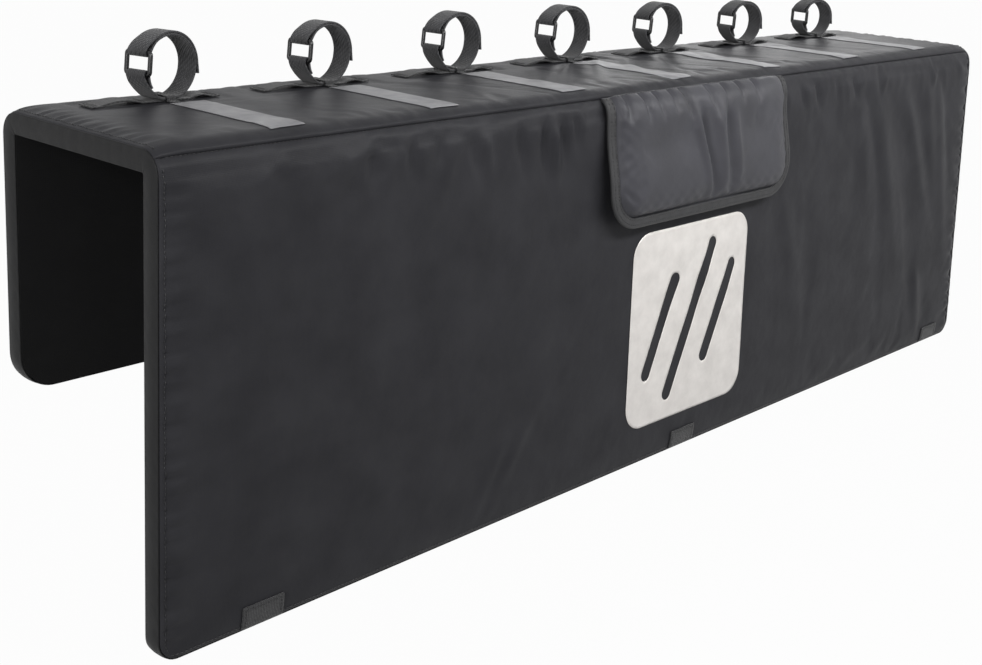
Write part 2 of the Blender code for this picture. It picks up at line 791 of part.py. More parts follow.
def buckle_curve(closed, material):
    """The moulded rectangular loop that the strap runs through."""
    upper = upper_bar(closed)
    lower = ring_point(closed, lower_bar_angle(closed), -LAYER / 2)
    middle = (upper + lower) / 2
    up = (upper - lower).normalized()
    wide = STRAP_WIDTH + 2 * BUCKLE_SIDE_GAP + BUCKLE_ROD
    curve = bpy.data.curves.new("strap_buckle", "CURVE")
    curve.dimensions = "3D"
    curve.bevel_depth = BUCKLE_ROD / 2
    curve.bevel_resolution = 1
    outline = round_rectangle(wide, BUCKLE_HEIGHT, BUCKLE_CORNER, 2)
    spline = curve.splines.new("POLY")
    spline.points.add(len(outline) - 1)
    for point, (y, z) in zip(spline.points, outline):
        spot = middle + Vector((0, y, 0)) + up * z
        point.co = (*spot, 1)
    spline.use_cyclic_u = True
    curve.materials.append(material)
    return curve


def make_straps(mats, collection):
    """Every station along the top: webbing, keeper, strap, buckle and reflective stripe."""
    top = THICKNESS + PUFF
    anchor_level = top + CLEARANCE + WEBBING / 2
    strap_level = CLEARANCE + WEBBING + CLEARANCE + STRAP_THICKNESS / 2
    anchor = ribbon_mesh("strap_anchor", anchor_path(), Vector((0, ANCHOR_WIDTH, 0)))
    keeper = ribbon_mesh("strap_keeper", keeper_path(strap_level), Vector((KEEPER_WIDTH, 0, 0)))
    middle = (STRAPS - 1) / 2
    for k in range(STRAPS):
        closed = RING_CLOSED[k]
        number = "_" + str(k + 1)
        x = (k - middle) * STRAP_PITCH
        ring_level = top + strap_level + closed * RING_HALF_HEIGHT - RING_FLAT
        turn = Matrix.Rotation((middle - k) * STRAP_FAN, 4, "Z")
        seat = Matrix.Translation((x + RING_OFFSET, STRAP_Y, ring_level)) @ turn
        strap = ribbon_mesh("bike_strap", strap_path(closed), Vector((0, STRAP_WIDTH, 0)))
        piece = add_object("bike_strap" + number, strap, mats["webbing"], collection, seat)
        thicken(piece, STRAP_THICKNESS)
        buckle = buckle_curve(closed, mats["plastic"])
        add_object("strap_buckle" + number, buckle, mats["plastic"], collection, seat)
        seat = Matrix.Translation((x, STRAP_Y, anchor_level))
        piece = add_object("strap_anchor" + number, anchor, mats["webbing"], collection, seat)
        thicken(piece, WEBBING)
        seat = Matrix.Translation((x + RING_OFFSET, STRAP_Y, top))
        piece = add_object("strap_keeper" + number, keeper, mats["webbing"], collection, seat)
        thicken(piece, KEEPER_THICKNESS)
        make_stripe("reflective_strip" + number, x + STRIPE_OFFSET, mats["film"], collection)


def make_stripe(name, centre, material, collection):
    """A reflective stripe over the top, from behind the front seam to the webbing."""
    start = FRONT_SEAM + CLEARANCE / 2
    end = REAR_SEAM - CLEARANCE / 2
    front = FRONT_SEAM + STRIPE_FRONT
    rear = TOP_START + BEND_Y + STRAP_Y - keeper_wall() - KEEPER_FOOT - STRIPE_REAR_GAP
    rows = [front] + [s for s in panel_rows(start, end) if front < s < rear] + [rear]

    def place(share, s):
        return centre + share * STRIPE_WIDTH / 2, s

    def outer(x, s):
        return inner(x, s) + FILM

    def inner(x, s):
        return puff(x, s, start, end) + CLEARANCE

    return slab(name, [-1.0, 1.0], rows, place, outer, inner, material, collection)


def make_emblem(material, collection):
    """Reflective panel on the front: a rounded field with slanted slots."""
    s = EMBLEM_ABOVE_HEM + EMBLEM_HEIGHT / 2
    outlines = [round_rectangle(EMBLEM_WIDTH, EMBLEM_HEIGHT, EMBLEM_RADIUS)]
    pitch = EMBLEM_WIDTH / (EMBLEM_SLOTS + 1)
    length = (EMBLEM_HEIGHT - 2 * EMBLEM_SLOT_MARGIN) / math.cos(EMBLEM_SLANT)
    bar = round_rectangle(EMBLEM_SLOT_WIDTH, length, EMBLEM_SLOT_WIDTH / 2.01, 3)
    lean = Matrix.Rotation(-EMBLEM_SLANT, 2)
    for k in range(EMBLEM_SLOTS):
        shift = (k - (EMBLEM_SLOTS - 1) / 2) * pitch
        shorten = 1 - abs(k - (EMBLEM_SLOTS - 1) / 2) * 0.35
        points = [lean @ Vector((x, y * shorten)) for x, y in bar]
        outlines.append([(point.x + shift, point.y) for point in points])
    curve = plate_curve("reflective_panel", outlines, FILM)
    matrix = laid_on(HANDLE_X, s, PUFF + CLEARANCE + FILM / 2)
    return add_object("reflective_panel", curve, material, collection, matrix)


def make_hem_tabs(material, collection):
    """Webbing patches on the front hem, one at each side and one in the middle."""
    start = INSET
    end = FRONT_SEAM - CLEARANCE / 2
    rows = [s for s in panel_rows(start, end) if start < s < start + HEM_TAB_HEIGHT]
    rows.append(start + HEM_TAB_HEIGHT)

    def outer(x, s):
        return inner(x, s) + WEBBING

    def inner(x, s):
        return PUFF * rounded(s - start, PUFF_EDGE) + CLEARANCE

    for k in range(3):
        centre = HANDLE_X + (k - 1) * HEM_TAB_SPACING

        def place(share, s, centre=centre):
            return centre + share * HEM_TAB_WIDTH / 2, s

        name = "hem_tab_" + str(k + 1)
        slab(name, [-1.0, 1.0], rows, place, outer, inner, material, collection)


def shade(collection):
    """Smooth shading on every mesh, with the folds and edges kept sharp."""
    for obj in collection.objects:
        if obj.type == "MESH":
            obj.data.shade_smooth()
            obj.data.set_sharp_from_angle(angle=math.radians(35))


def main():
    """Builds the whole pad in an emptied scene."""
    for obj in list(bpy.data.objects):
        bpy.data.objects.remove(obj)
    collection = bpy.data.collections.new("tailgate_bike_pad")
    cutters = bpy.data.collections.new("cutters")
    bpy.context.scene.collection.children.link(collection)
    bpy.context.scene.collection.children.link(cutters)
    mats = {
        "cover": new_material("coated_polyester", (0.036, 0.036, 0.038), 0.45),
        "lining": new_material("brushed_lining", (0.006, 0.006, 0.006), 0.9),
        "foam": new_material("closed_cell_foam", (0.10, 0.10, 0.105), 0.85),
        "binding": new_material("binding_tape", (0.022, 0.022, 0.023), 0.7),
        "webbing": new_material("woven_webbing", (0.030, 0.030, 0.031), 0.75),
        "plastic": new_material("moulded_acetal", (0.012, 0.012, 0.013), 0.25),
        "film": new_material("reflective_film", (0.34, 0.34, 0.35), 0.35),
        "fastener": new_material("hook_and_loop", (0.010, 0.010, 0.010), 0.95),
    }
    blanket = make_blanket(mats, collection)
    make_boxing(mats["cover"], collection)
    cut_window(blanket, mats, collection, cutters)
    make_flap(mats, collection)
    make_straps(mats, collection)
    make_emblem(mats["film"], collection)
    make_hem_tabs(mats["webbing"], collection)
    shade(collection)


main()
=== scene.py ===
# %% [markdown]
# # A tailgate bike pad
# A padded blanket hangs over a pickup's tailgate: a long panel outside, a short one inside.
# Seven hook-and-loop straps on top hold the bikes. Every sewn layer here is one sheet with
# two numbers for each point, x along the pad and s along its outer face from the front hem,
# and a height over that face. One function folds that flat pattern over the tailgate.

import math

import bmesh
import bpy
import numpy as np
from mathutils import Matrix, Vector


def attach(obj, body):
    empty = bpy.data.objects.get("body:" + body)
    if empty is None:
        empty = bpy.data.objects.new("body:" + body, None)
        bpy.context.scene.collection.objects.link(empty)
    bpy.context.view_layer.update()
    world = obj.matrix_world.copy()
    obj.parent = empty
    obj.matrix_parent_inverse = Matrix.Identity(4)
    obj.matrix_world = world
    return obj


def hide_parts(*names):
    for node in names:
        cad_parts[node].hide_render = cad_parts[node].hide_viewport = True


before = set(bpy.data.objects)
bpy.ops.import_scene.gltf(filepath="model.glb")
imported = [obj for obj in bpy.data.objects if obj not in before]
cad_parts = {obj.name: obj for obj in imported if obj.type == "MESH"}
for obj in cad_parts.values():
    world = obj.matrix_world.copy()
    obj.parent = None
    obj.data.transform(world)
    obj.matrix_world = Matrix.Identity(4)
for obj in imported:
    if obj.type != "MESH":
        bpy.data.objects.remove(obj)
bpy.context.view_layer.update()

# %% [markdown]
# ## Sizes of the pattern
# These are the lengths of the sewn object in metres, the same as in its CAD source, because
# each dressed piece has to sit where its solid sits.

# %% Sizes in metres
LENGTH = 1.575
DEPTH = 0.264
FRONT_DROP = 0.4845
REAR_DROP = 0.289
THICKNESS = 0.0214
INNER_BEND = 0.002
FRONT_FLARE = math.radians(1.2)
HEM_SPREAD = 0.0086
FRONT_CORNER = 0.022
REAR_CORNER = 0.038
FABRIC = 0.0012
CLEARANCE = 0.0003
INSET = FABRIC + CLEARANCE
PUFF = 0.005
PUFF_EDGE = 0.035
OUTER_BEND = INNER_BEND + THICKNESS
BEND_Y = DEPTH / 2 - OUTER_BEND
FRONT_RUN = (FRONT_DROP - OUTER_BEND + OUTER_BEND * math.sin(FRONT_FLARE)) / math.cos(FRONT_FLARE)
REAR_RUN = REAR_DROP - OUTER_BEND
FRONT_ARC = OUTER_BEND * (math.pi / 2 - FRONT_FLARE)
REAR_ARC = OUTER_BEND * math.pi / 2
TOP_START = FRONT_RUN + FRONT_ARC
TOP_MIDDLE = TOP_START + BEND_Y
TOP_END = TOP_START + 2 * BEND_Y
REAR_START = TOP_END + REAR_ARC
GIRTH = REAR_START + REAR_RUN
FRONT_SEAM = FRONT_RUN + FRONT_ARC / 2
REAR_SEAM = TOP_END + REAR_ARC / 2
HANDLE_X = 0.0196
FLAP_WIDTH = 0.385
FLAP_DROP = 0.157
WINDOW_WIDTH = 0.300
WINDOW_HEIGHT = 0.084
WINDOW_RADIUS = 0.018
WINDOW_BELOW_SEAM = 0.040
WINDOW_TAPE = 0.0012
HEM_TAB_SPACING = 0.690
HEM_TAB_WIDTH = 0.050
HEM_TAB_HEIGHT = 0.025
print("from hem to hem over the top:", round(GIRTH, 4), "m; front seam at", round(FRONT_SEAM, 4))

# %% [markdown]
# ## Folding the flat pattern over the tailgate
# Cloth that bends in one direction only keeps its lengths, so the fold is exact: straight
# down each side, a quarter of a circle at each bend and flat between the bends.


# %% The fold
def fold(x, s, level):
    """Point (x, y, z) of the folded pad.

    On a bend the point is the bend's centre plus (bend radius + level) times the direction
    that turns with the arc length; below it, it hangs on along the panel's line.
    """
    x, s, level = np.broadcast_arrays(*(np.asarray(each, float) for each in (x, s, level)))
    front = s < TOP_MIDDLE
    side = np.where(front, -1.0, 1.0)
    flare = np.where(front, FRONT_FLARE, 0.0)
    hang = np.where(front, np.maximum(FRONT_RUN - s, 0.0), np.maximum(s - REAR_START, 0.0))
    arc = np.where(front, s - FRONT_RUN, REAR_START - s)
    angle = flare + np.clip(arc / OUTER_BEND, 0.0, np.pi / 2 - flare)
    reach = OUTER_BEND + level
    flat = np.clip(s, TOP_START, TOP_END) - TOP_MIDDLE
    on_top = (s > TOP_START) & (s < TOP_END)
    y = np.where(on_top, flat, side * (BEND_Y + reach * np.cos(angle) + hang * np.sin(flare)))
    z = reach * np.sin(angle) - INNER_BEND - hang * np.cos(flare)
    spread = 1.0 + np.where(front, HEM_SPREAD / (LENGTH / 2) * hang / FRONT_RUN, 0.0)
    return np.stack([x * spread, y, z], axis=-1)


def outward(x, s):
    """Unit normal of the folded face: the cross product of its x and s directions."""
    step = 1e-4
    along = fold(x, np.asarray(s) + step, 0.0) - fold(x, np.asarray(s) - step, 0.0)
    normal = np.cross(np.array([1.0, 0.0, 0.0]), along)
    return normal / np.linalg.norm(normal, axis=-1, keepdims=True)


def rounded(edge, width):
    """Quarter ellipse: 0 at an edge, the root of 1 - (1 - edge / width) squared, 1 inside."""
    share = np.clip(np.asarray(edge, float) / width, 0.0, 1.0)
    return np.sqrt(1.0 - (1.0 - share) ** 2)


def smooth(share):
    """Smooth step: 3 t squared less 2 t cubed, for t held between 0 and 1."""
    t = np.clip(share, 0.0, 1.0)
    return t * t * (3.0 - 2.0 * t)


def corner_cut(height, radius):
    """How far a round corner steps in: the radius less its circle's half chord."""
    up = np.clip(radius - np.asarray(height, float), 0.0, radius)
    return radius - np.sqrt(radius * radius - up * up)


def half_length(s, inset=0.0):
    """Half the pad's length at s, for an outline inset from the sewn edge."""
    s = np.asarray(s, float)
    front = corner_cut(s - inset, FRONT_CORNER - inset)
    rear = corner_cut(GIRTH - s - inset, REAR_CORNER - inset)
    return LENGTH / 2 - inset - front - rear


# %% [markdown]
# ## Meshes from arrays
# A sheet is a grid of points. A stuffed or thick piece is two such grids, an outer and an
# inner one, closed by a strip round the border, so it can be printed as well as rendered.
# Each vertex keeps its flat pattern position in metres as its UV, so the weave keeps its size.


# %% Mesh helpers
def add_object(name, data):
    """Puts new mesh, lamp or camera data into the scene as an object at the origin."""
    made = bpy.data.objects.new(name, data)
    bpy.context.scene.collection.objects.link(made)
    return made


def put_mesh(name, vertices, faces, uv, material):
    """Makes a mesh object at the origin; uv holds one pattern position for each vertex."""
    mesh = bpy.data.meshes.new(name)
    mesh.from_pydata(np.asarray(vertices).reshape(-1, 3).tolist(), [], faces.tolist())
    layer = mesh.uv_layers.new(name="pattern")
    corner = np.empty(len(mesh.loops), dtype=np.int64)
    mesh.loops.foreach_get("vertex_index", corner)
    layer.data.foreach_set("uv", np.asarray(uv, float).reshape(-1, 2)[corner].ravel())
    mesh.shade_smooth()
    mesh.materials.append(material)
    return add_object(name, mesh)


def grid_faces(rows, columns, close_rows=False, close_columns=False):
    """Quads of a grid that is stored row by row, closed round in either direction."""
    index = np.arange(rows * columns).reshape(rows, columns)
    if close_rows:
        index = np.vstack([index, index[:1]])
    if close_columns:
        index = np.hstack([index, index[:, :1]])
    quads = [index[:-1, :-1], index[:-1, 1:], index[1:, 1:], index[1:, :-1]]
    return np.stack(quads, axis=-1).reshape(-1, 4)


def border(rows, columns):
    """Vertex numbers once round the edge of a grid."""
    index = np.arange(rows * columns).reshape(rows, columns)
    return np.concatenate([index[0, :-1], index[:-1, -1], index[-1, :0:-1], index[:0:-1, 0]])


def shell(name, outer, inner, uv, material):
    """A closed body: outer grid, inner grid turned over, and quads round their borders."""
    rows, columns = outer.shape[:2]
    count = rows * columns
    top = grid_faces(rows, columns)
    bottom = top[:, ::-1] + count
    ring = border(rows, columns)
    after = np.roll(ring, -1)
    wall = np.stack([after, ring, ring + count, after + count], axis=-1)
    vertices = np.concatenate([outer.reshape(-1, 3), inner.reshape(-1, 3)])
    both = np.concatenate([uv.reshape(-1, 2), uv.reshape(-1, 2)])
    return put_mesh(name, vertices, np.concatenate([top, bottom, wall]), both, material)


def dress(piece, nodes):
    """Tells the frame what a piece rides on and hides the nodes that it stands for."""
    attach(piece, "root")
    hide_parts(*nodes)
    triangles = sum(len(face.vertices) - 2 for face in piece.data.polygons)
    print(piece.name, "has", triangles, "triangles")


# %% [markdown]
# ## Colours and nodes
# Colours are written as sRGB hex, as a colour picker shows them, and turned to the linear
# values that the shader works in. One small function adds every node.


# %% Colour and node helpers
def linear(code):
    """Linear RGBA of an sRGB hex colour: v / 12.92 when dark, else ((v + .055) / 1.055) ^ 2.4."""
    parts = np.array([int(code[k : k + 2], 16) for k in (1, 3, 5)]) / 255.0
    values = np.where(parts <= 0.04045, parts / 12.92, ((parts + 0.055) / 1.055) ** 2.4)
    return (*values.tolist(), 1.0)


def new_material(name, colour, roughness, ior=1.5):
    """A material with one Principled shader, ready for its pattern nodes."""
    made = bpy.data.materials.new(name)
    made.use_nodes = True
    shader = made.node_tree.nodes["Principled BSDF"]
    shader.inputs["Base Color"].default_value = linear(colour)
    shader.inputs["Roughness"].default_value = roughness
    shader.inputs["IOR"].default_value = ior
    return made, shader


def add_node(tree, kind, inputs, **settings):
    """One node: settings are its own choices, inputs are values or sockets to link to."""
    made = tree.nodes.new(kind)
    for key, value in settings.items():
        setattr(made, key, value)
    for key, value in inputs.items():
        if isinstance(value, bpy.types.NodeSocket):
            tree.links.new(value, made.inputs[key])
        else:
            made.inputs[key].default_value = value
    return made


# %% [markdown]
# ## Woven surfaces
# Every cloth here is woven. Two sets of waves across each other raise the threads, with the
# scale worked out from a thread spacing in millimetres: a wave texture makes
# 20 / (2 pi) times its scale waves in one unit. Slow noise adds the dye's unevenness and
# the soft wrinkles that are too small to model.


# %% Weave
WAVES_PER_SCALE = 20.0 / (2.0 * math.pi)


def pattern_position(tree):
    """The cloth's own position in metres, from its UV map."""
    return add_node(tree, "ShaderNodeUVMap", {}, uv_map="pattern").outputs["UV"]


def threads(tree, position, spacing, direction):
    """Height of one set of threads, spacing metres apart, as a sine wave."""
    scale = 1.0 / spacing / WAVES_PER_SCALE
    inputs = {"Vector": position, "Scale": scale}
    wave = add_node(tree, "ShaderNodeTexWave", inputs, bands_direction=direction)
    return wave.outputs["Fac"]


def noise(tree, position, size, detail=3.0, roughness=0.5):
    """Cloudy noise whose lumps are about size metres across."""
    inputs = {"Vector": position, "Scale": 1.0 / size, "Detail": detail, "Roughness": roughness}
    return add_node(tree, "ShaderNodeTexNoise", inputs).outputs["Fac"]


def between(tree, share, low, high):
    """A colour between two hex colours, by a share from 0.3 to 0.7 of a noise."""
    ramp = add_node(tree, "ShaderNodeValToRGB", {"Fac": share})
    ramp.color_ramp.elements[0].position = 0.3
    ramp.color_ramp.elements[0].color = linear(low)
    ramp.color_ramp.elements[1].position = 0.7
    ramp.color_ramp.elements[1].color = linear(high)
    return ramp.outputs["Color"]


def maths(tree, operation, first, second):
    """One sum of two numbers or sockets."""
    return add_node(tree, "ShaderNodeMath", {0: first, 1: second}, operation=operation).outputs[0]


def raised(tree, height, strength, distance, under=None):
    """Bump from a height, distance metres high, over another bump."""
    inputs = {"Height": height, "Strength": strength, "Distance": distance}
    if under is not None:
        inputs["Normal"] = under
    return add_node(tree, "ShaderNodeBump", inputs).outputs["Normal"]


def varied(tree, shader, share, low, high):
    """Roughness between low and high by a share from 0 to 1."""
    inputs = {"Value": share, "To Min": low, "To Max": high}
    spread = add_node(tree, "ShaderNodeMapRange", inputs)
    tree.links.new(spread.outputs["Result"], shader.inputs["Roughness"])


def woven(name, low, high, roughness, spacing, bump, wrinkle):
    """A woven cloth: two sets of threads, patchy dye and fine wrinkles."""
    made, shader = new_material(name, low, roughness)
    tree = made.node_tree
    position = pattern_position(tree)
    tint = between(tree, noise(tree, position, 0.06, 5.0), low, high)
    tree.links.new(tint, shader.inputs["Base Color"])
    warp = threads(tree, position, spacing, "X")
    weft = threads(tree, position, spacing, "Y")
    crease = raised(tree, noise(tree, position, 0.02, 4.0), wrinkle, 0.002)
    weave = raised(tree, maths(tree, "MULTIPLY", warp, weft), bump, spacing / 4, crease)
    tree.links.new(weave, shader.inputs["Normal"])
    varied(tree, shader, noise(tree, position, 0.035, 4.0), roughness - 0.06, roughness + 0.08)
    return made, shader


# %% [markdown]
# ## The finishes
# - Coated polyester: 600 denier plain weave with a polyurethane back, so it has a satin
#   gloss. Its threads are 0.7 mm apart; they are drawn at 1.5 mm, or they would not show.
#   Its threads shade one another, so it mirrors less than a smooth film would: that is
#   its low specular level. The flap's cloth is a lighter grey. The strip round the edge
#   is the same cloth painted near black, as painted shade for the pad's unlit ends.
# - Binding tape and webbing: polyester, ribbed and duller, with a fibre's pale sheen.
# - Lining: brushed black knit, almost without gloss, darkened further as painted shade.
# - Buckles: acetal, moulded in a polished tool, so glossy.
# - Reflective film: glass beads under a clear top, silver-grey and half matt.

# %% Cloth finishes
cover_cloth, cover_shader = woven(
    "coated_polyester", "#2a2a2d", "#333336",
    roughness=0.42, spacing=0.0015, bump=0.22, wrinkle=0.30,
)
cover_shader.inputs["Specular IOR Level"].default_value = 0.07

flap_cloth, flap_shader = woven(
    "coated_polyester_flap", "#3a3a3e", "#434348",
    roughness=0.42, spacing=0.0015, bump=0.22, wrinkle=0.22,
)
flap_shader.inputs["Specular IOR Level"].default_value = 0.18

# The lining is black knit, and its colour is darkened further still: painted shade for the pad's
# dark inside.
shaded_lining_cloth, shaded_lining_shader = woven(
    "brushed_knit_lining_painted_shade", "#070708", "#0c0c0d",
    roughness=0.9, spacing=0.0020, bump=0.35, wrinkle=0.25,
)
shaded_lining_shader.inputs["Specular IOR Level"].default_value = 0.25

binding_cloth, binding_shader = woven(
    "polyester_binding_tape", "#19191b", "#222224",
    roughness=0.66, spacing=0.0012, bump=0.5, wrinkle=0.2,
)
binding_shader.inputs["Sheen Weight"].default_value = 0.05

# The edge strip: the covers' cloth coloured near black, painted shade for the pad's unlit ends.
shaded_strip_cloth, shaded_strip_shader = woven(
    "coated_polyester_painted_shade", "#0d0d0e", "#131314",
    roughness=0.55, spacing=0.0015, bump=0.22, wrinkle=0.3,
)
shaded_strip_shader.inputs["Specular IOR Level"].default_value = 0.2

thread_fibre = new_material("bonded_polyester_thread", "#1c1c1e", 0.5)[0]

print("cloths:", [each.name for each in (cover_cloth, flap_cloth, shaded_lining_cloth, shaded_strip_cloth)])

# %% [markdown]
# Webbing is a heavy twill: thick ribs run along it, and every weft row shows as a small
# step across it. Across the strap the UV is the width, along it the length.


# %% Webbing, hook-and-loop, acetal and film
def webbing_material(name, low, high, rib, row):
    """Webbing: ribs rib metres apart across the strap, rows row metres apart along it."""
    made, shader = new_material(name, low, 0.72)
    tree = made.node_tree
    position = pattern_position(tree)
    tint = between(tree, noise(tree, position, 0.012, 4.0), low, high)
    tree.links.new(tint, shader.inputs["Base Color"])
    ribs = threads(tree, position, rib, "X")
    rows = threads(tree, position, row, "DIAGONAL")
    fuzz = raised(tree, noise(tree, position, 0.0012, 3.0), 0.4, 0.0006)
    weave = raised(tree, maths(tree, "ADD", ribs, rows), 0.8, 0.0006, fuzz)
    tree.links.new(weave, shader.inputs["Normal"])
    shader.inputs["Sheen Weight"].default_value = 0.15
    shader.inputs["Sheen Roughness"].default_value = 0.5
    return made


strap_webbing = webbing_material("woven_loop_webbing", "#1a1a1c", "#343437", 0.0026, 0.0030)
# Webbing under the straps, the cross loops and the hem tabs: black webbing, darkened further as
# painted shade beside the straps.
shade_darkened_webbing = webbing_material("woven_polyester_webbing_painted_shade", "#171719", "#232325", 0.0020, 0.0026)
hook_tape = webbing_material("hook_and_loop_tape", "#101011", "#1c1c1d", 0.0016, 0.0016)

acetal, acetal_shader = new_material("moulded_acetal", "#0f0f11", 0.2, 1.48)
acetal_tree = acetal.node_tree
acetal_place = add_node(acetal_tree, "ShaderNodeTexCoord", {}).outputs["Object"]
acetal_ripple = raised(acetal_tree, noise(acetal_tree, acetal_place, 0.004, 2.0), 0.08, 0.0004)
acetal_tree.links.new(acetal_ripple, acetal_shader.inputs["Normal"])
varied(acetal_tree, acetal_shader, noise(acetal_tree, acetal_place, 0.006, 3.0), 0.14, 0.3)


def film_material(name, low, high, roughness):
    """Reflective film: fine glass beads, faint handling marks and soft creases."""
    made, shader = new_material(name, low, roughness)
    tree = made.node_tree
    position = pattern_position(tree)
    tint = between(tree, noise(tree, position, 0.03, 5.0, 0.6), low, high)
    tree.links.new(tint, shader.inputs["Base Color"])
    beads = raised(tree, noise(tree, position, 0.0015, 2.0), 0.18, 0.0003)
    crease = raised(tree, noise(tree, position, 0.014, 3.0), 0.25, 0.0015, beads)
    tree.links.new(crease, shader.inputs["Normal"])
    varied(tree, shader, noise(tree, position, 0.02, 4.0), roughness - 0.08, roughness + 0.1)
    shader.inputs["Metallic"].default_value = 0.15
    shader.inputs["Specular IOR Level"].default_value = 0.25
    return made


stripe_film = film_material("grey_reflective_film", "#78787b", "#969698", 0.5)
panel_film = film_material("silver_reflective_film", "#d6d2ce", "#e8e4e0", 0.36)

# %% [markdown]
# ## Where the cloth lies
# The panels are stuffed with foam that stands 5 mm proud of their seams. At a seam the cloth
# comes up by half of that at once, lies level for a finger's breadth where only the seam's
# allowance is under it, and then climbs the foam's shoulder. Real cover cloth is cut a little
# larger than the foam, so it stands in folds where it is sewn. The long folds that the eye
# notices are listed in a table, and the small ones come from a cloth simulation
# after that.


# %% Stuffing and folds
def puff(x, s, start, end):
    """Stuffing's height: PUFF times a quarter ellipse to the ends and two to the seams.

    Of the two, a steep one 3 mm wide makes 6 tenths of the rise, a wide one the rest.
    """
    ends = rounded(half_length(s, INSET) - np.abs(x), PUFF_EDGE)
    seam = np.minimum(s - start, end - s)
    return PUFF * ends * (0.6 * rounded(seam, 0.003) + 0.4 * rounded(seam, PUFF_EDGE))


def banded(edge, band, rise):
    """Sewn edge: half way up at once, then level, and up the foam's shoulder after band."""
    crease = 0.24 * np.exp(-((edge - band) / 0.0035) ** 2)
    return 0.5 * rounded(edge, 0.003) - crease + 0.5 * rounded(edge - band, rise)


def front_stuffing(x, s, start, end):
    """The front's stuffing, with a level band under its top seam and along its ends."""
    ends = banded(half_length(s, INSET) - np.abs(x), 0.007, 0.022)
    band = 0.0165 + 0.0015 * np.sin(x * 23.0) + 0.001 * np.sin(x * 61.0 + 1.0)
    seam = banded(end - s, band, 0.017)
    return PUFF * ends * seam * rounded(s - start, 0.028)


def ridges(x, s, table):
    """Sum of soft ridges, each a bell across it times a rise and a fall along it.

    A row is: x and s of its start, length towards the hem, lean, half width, height.
    """
    total = np.zeros(np.broadcast_shapes(np.shape(x), np.shape(s)))
    for centre, begin, length, lean, width, height in table:
        along = (begin - s) / length
        across = (x - centre - lean * (begin - s)) / width
        rise = smooth(along / 0.18) * smooth((1.0 - along) / 0.7)
        total += height * rise * np.exp(-across * across)
    return total


def pucker_table(seed, low, high, begin, pitch, length, height):
    """Many small ridges in a row along a seam, with uneven places, lengths and heights."""
    draw = np.random.default_rng(seed)
    count = int((high - low) / pitch)
    centre = low + (np.arange(count) + draw.uniform(0.2, 0.8, count)) * pitch
    columns = [
        centre,
        begin + draw.uniform(-0.002, 0.002, count),
        length * draw.uniform(0.5, 1.5, count),
        draw.uniform(-0.35, 0.35, count),
        pitch * draw.uniform(0.18, 0.4, count),
        height * draw.uniform(0.25, 1.0, count),
    ]
    return np.stack(columns, axis=-1)


flap_left = HANDLE_X - FLAP_WIDTH / 2
flap_right = HANDLE_X + FLAP_WIDTH / 2
front_folds = np.concatenate([
    pucker_table(11, -0.77, flap_left - 0.01, FRONT_SEAM - 0.006, 0.026, 0.045, 0.0013),
    pucker_table(12, flap_right + 0.01, 0.77, FRONT_SEAM - 0.012, 0.024, 0.045, 0.0020),
    pucker_table(13, -0.60, flap_left - 0.02, FRONT_SEAM - 0.012, 0.031, 0.085, 0.0020),
    np.array([
        (0.425, FRONT_SEAM - 0.03, 0.24, 0.22, 0.020, 0.0026),
        (0.470, FRONT_SEAM - 0.02, 0.40, 0.34, 0.022, 0.0036),
        (0.556, FRONT_SEAM - 0.03, 0.30, 0.46, 0.018, 0.0034),
        (0.625, FRONT_SEAM - 0.02, 0.27, 0.30, 0.020, 0.0034),
        (0.668, FRONT_SEAM - 0.03, 0.38, 0.22, 0.015, 0.0030),
        (0.640, 0.14, 0.139, 0.20, 0.013, 0.0030),
        (0.230, FRONT_SEAM - 0.16, 0.22, 0.30, 0.018, 0.0020),
        (-0.010, 0.31, 0.21, 0.16, 0.022, 0.0016),
        (0.036, 0.31, 0.20, 0.20, 0.020, 0.0018),
        (0.086, 0.31, 0.23, 0.10, 0.020, 0.0016),
        (-0.540, FRONT_SEAM - 0.018, 0.060, 0.10, 0.0075, -0.0052),
        (-0.488, FRONT_SEAM - 0.016, 0.056, 0.15, 0.0072, -0.0052),
        (-0.446, FRONT_SEAM - 0.016, 0.045, 0.10, 0.0060, -0.0040),
        (-0.398, FRONT_SEAM - 0.016, 0.065, 0.25, 0.0078, -0.0064),
        (-0.378, FRONT_SEAM - 0.022, 0.048, 0.20, 0.0055, 0.0032),
        (-0.325, FRONT_SEAM - 0.014, 0.075, 0.20, 0.0075, -0.0066),
        (-0.279, FRONT_SEAM - 0.012, 0.090, 0.10, 0.0070, -0.0070),
        (-0.264, FRONT_SEAM - 0.020, 0.085, 0.12, 0.0055, 0.0050),
        (-0.248, FRONT_SEAM - 0.014, 0.075, 0.15, 0.0065, -0.0066),
        (-0.226, FRONT_SEAM - 0.012, 0.055, 0.10, 0.0065, -0.0056),
        (0.262, FRONT_SEAM - 0.014, 0.040, 0.30, 0.0058, -0.0036),
        (0.300, FRONT_SEAM - 0.014, 0.046, 0.35, 0.0060, -0.0040),
        (0.352, FRONT_SEAM - 0.014, 0.040, 0.30, 0.0058, -0.0034),
        (0.402, FRONT_SEAM - 0.014, 0.044, 0.35, 0.0062, -0.0036),
        (-0.330, 0.105, 0.100, -0.55, 0.010, 0.0016),
        (-0.285, 0.125, 0.115, -0.60, 0.011, 0.0018),
    ]),
])
print(len(front_folds), "ridges on the front panel")


# %% [markdown]
# ## Cloth simulation of a panel's cover
# A cover is sewn down along its border. The simulation lets the cloth grow by a few parts in
# a hundred while its border stays pinned, and a light pressure from the foam side decides
# that the spare length stands out. Only the move along the face's normal is kept, within
# limits, so the piece stays in its solid's place and its stripes can follow one height.


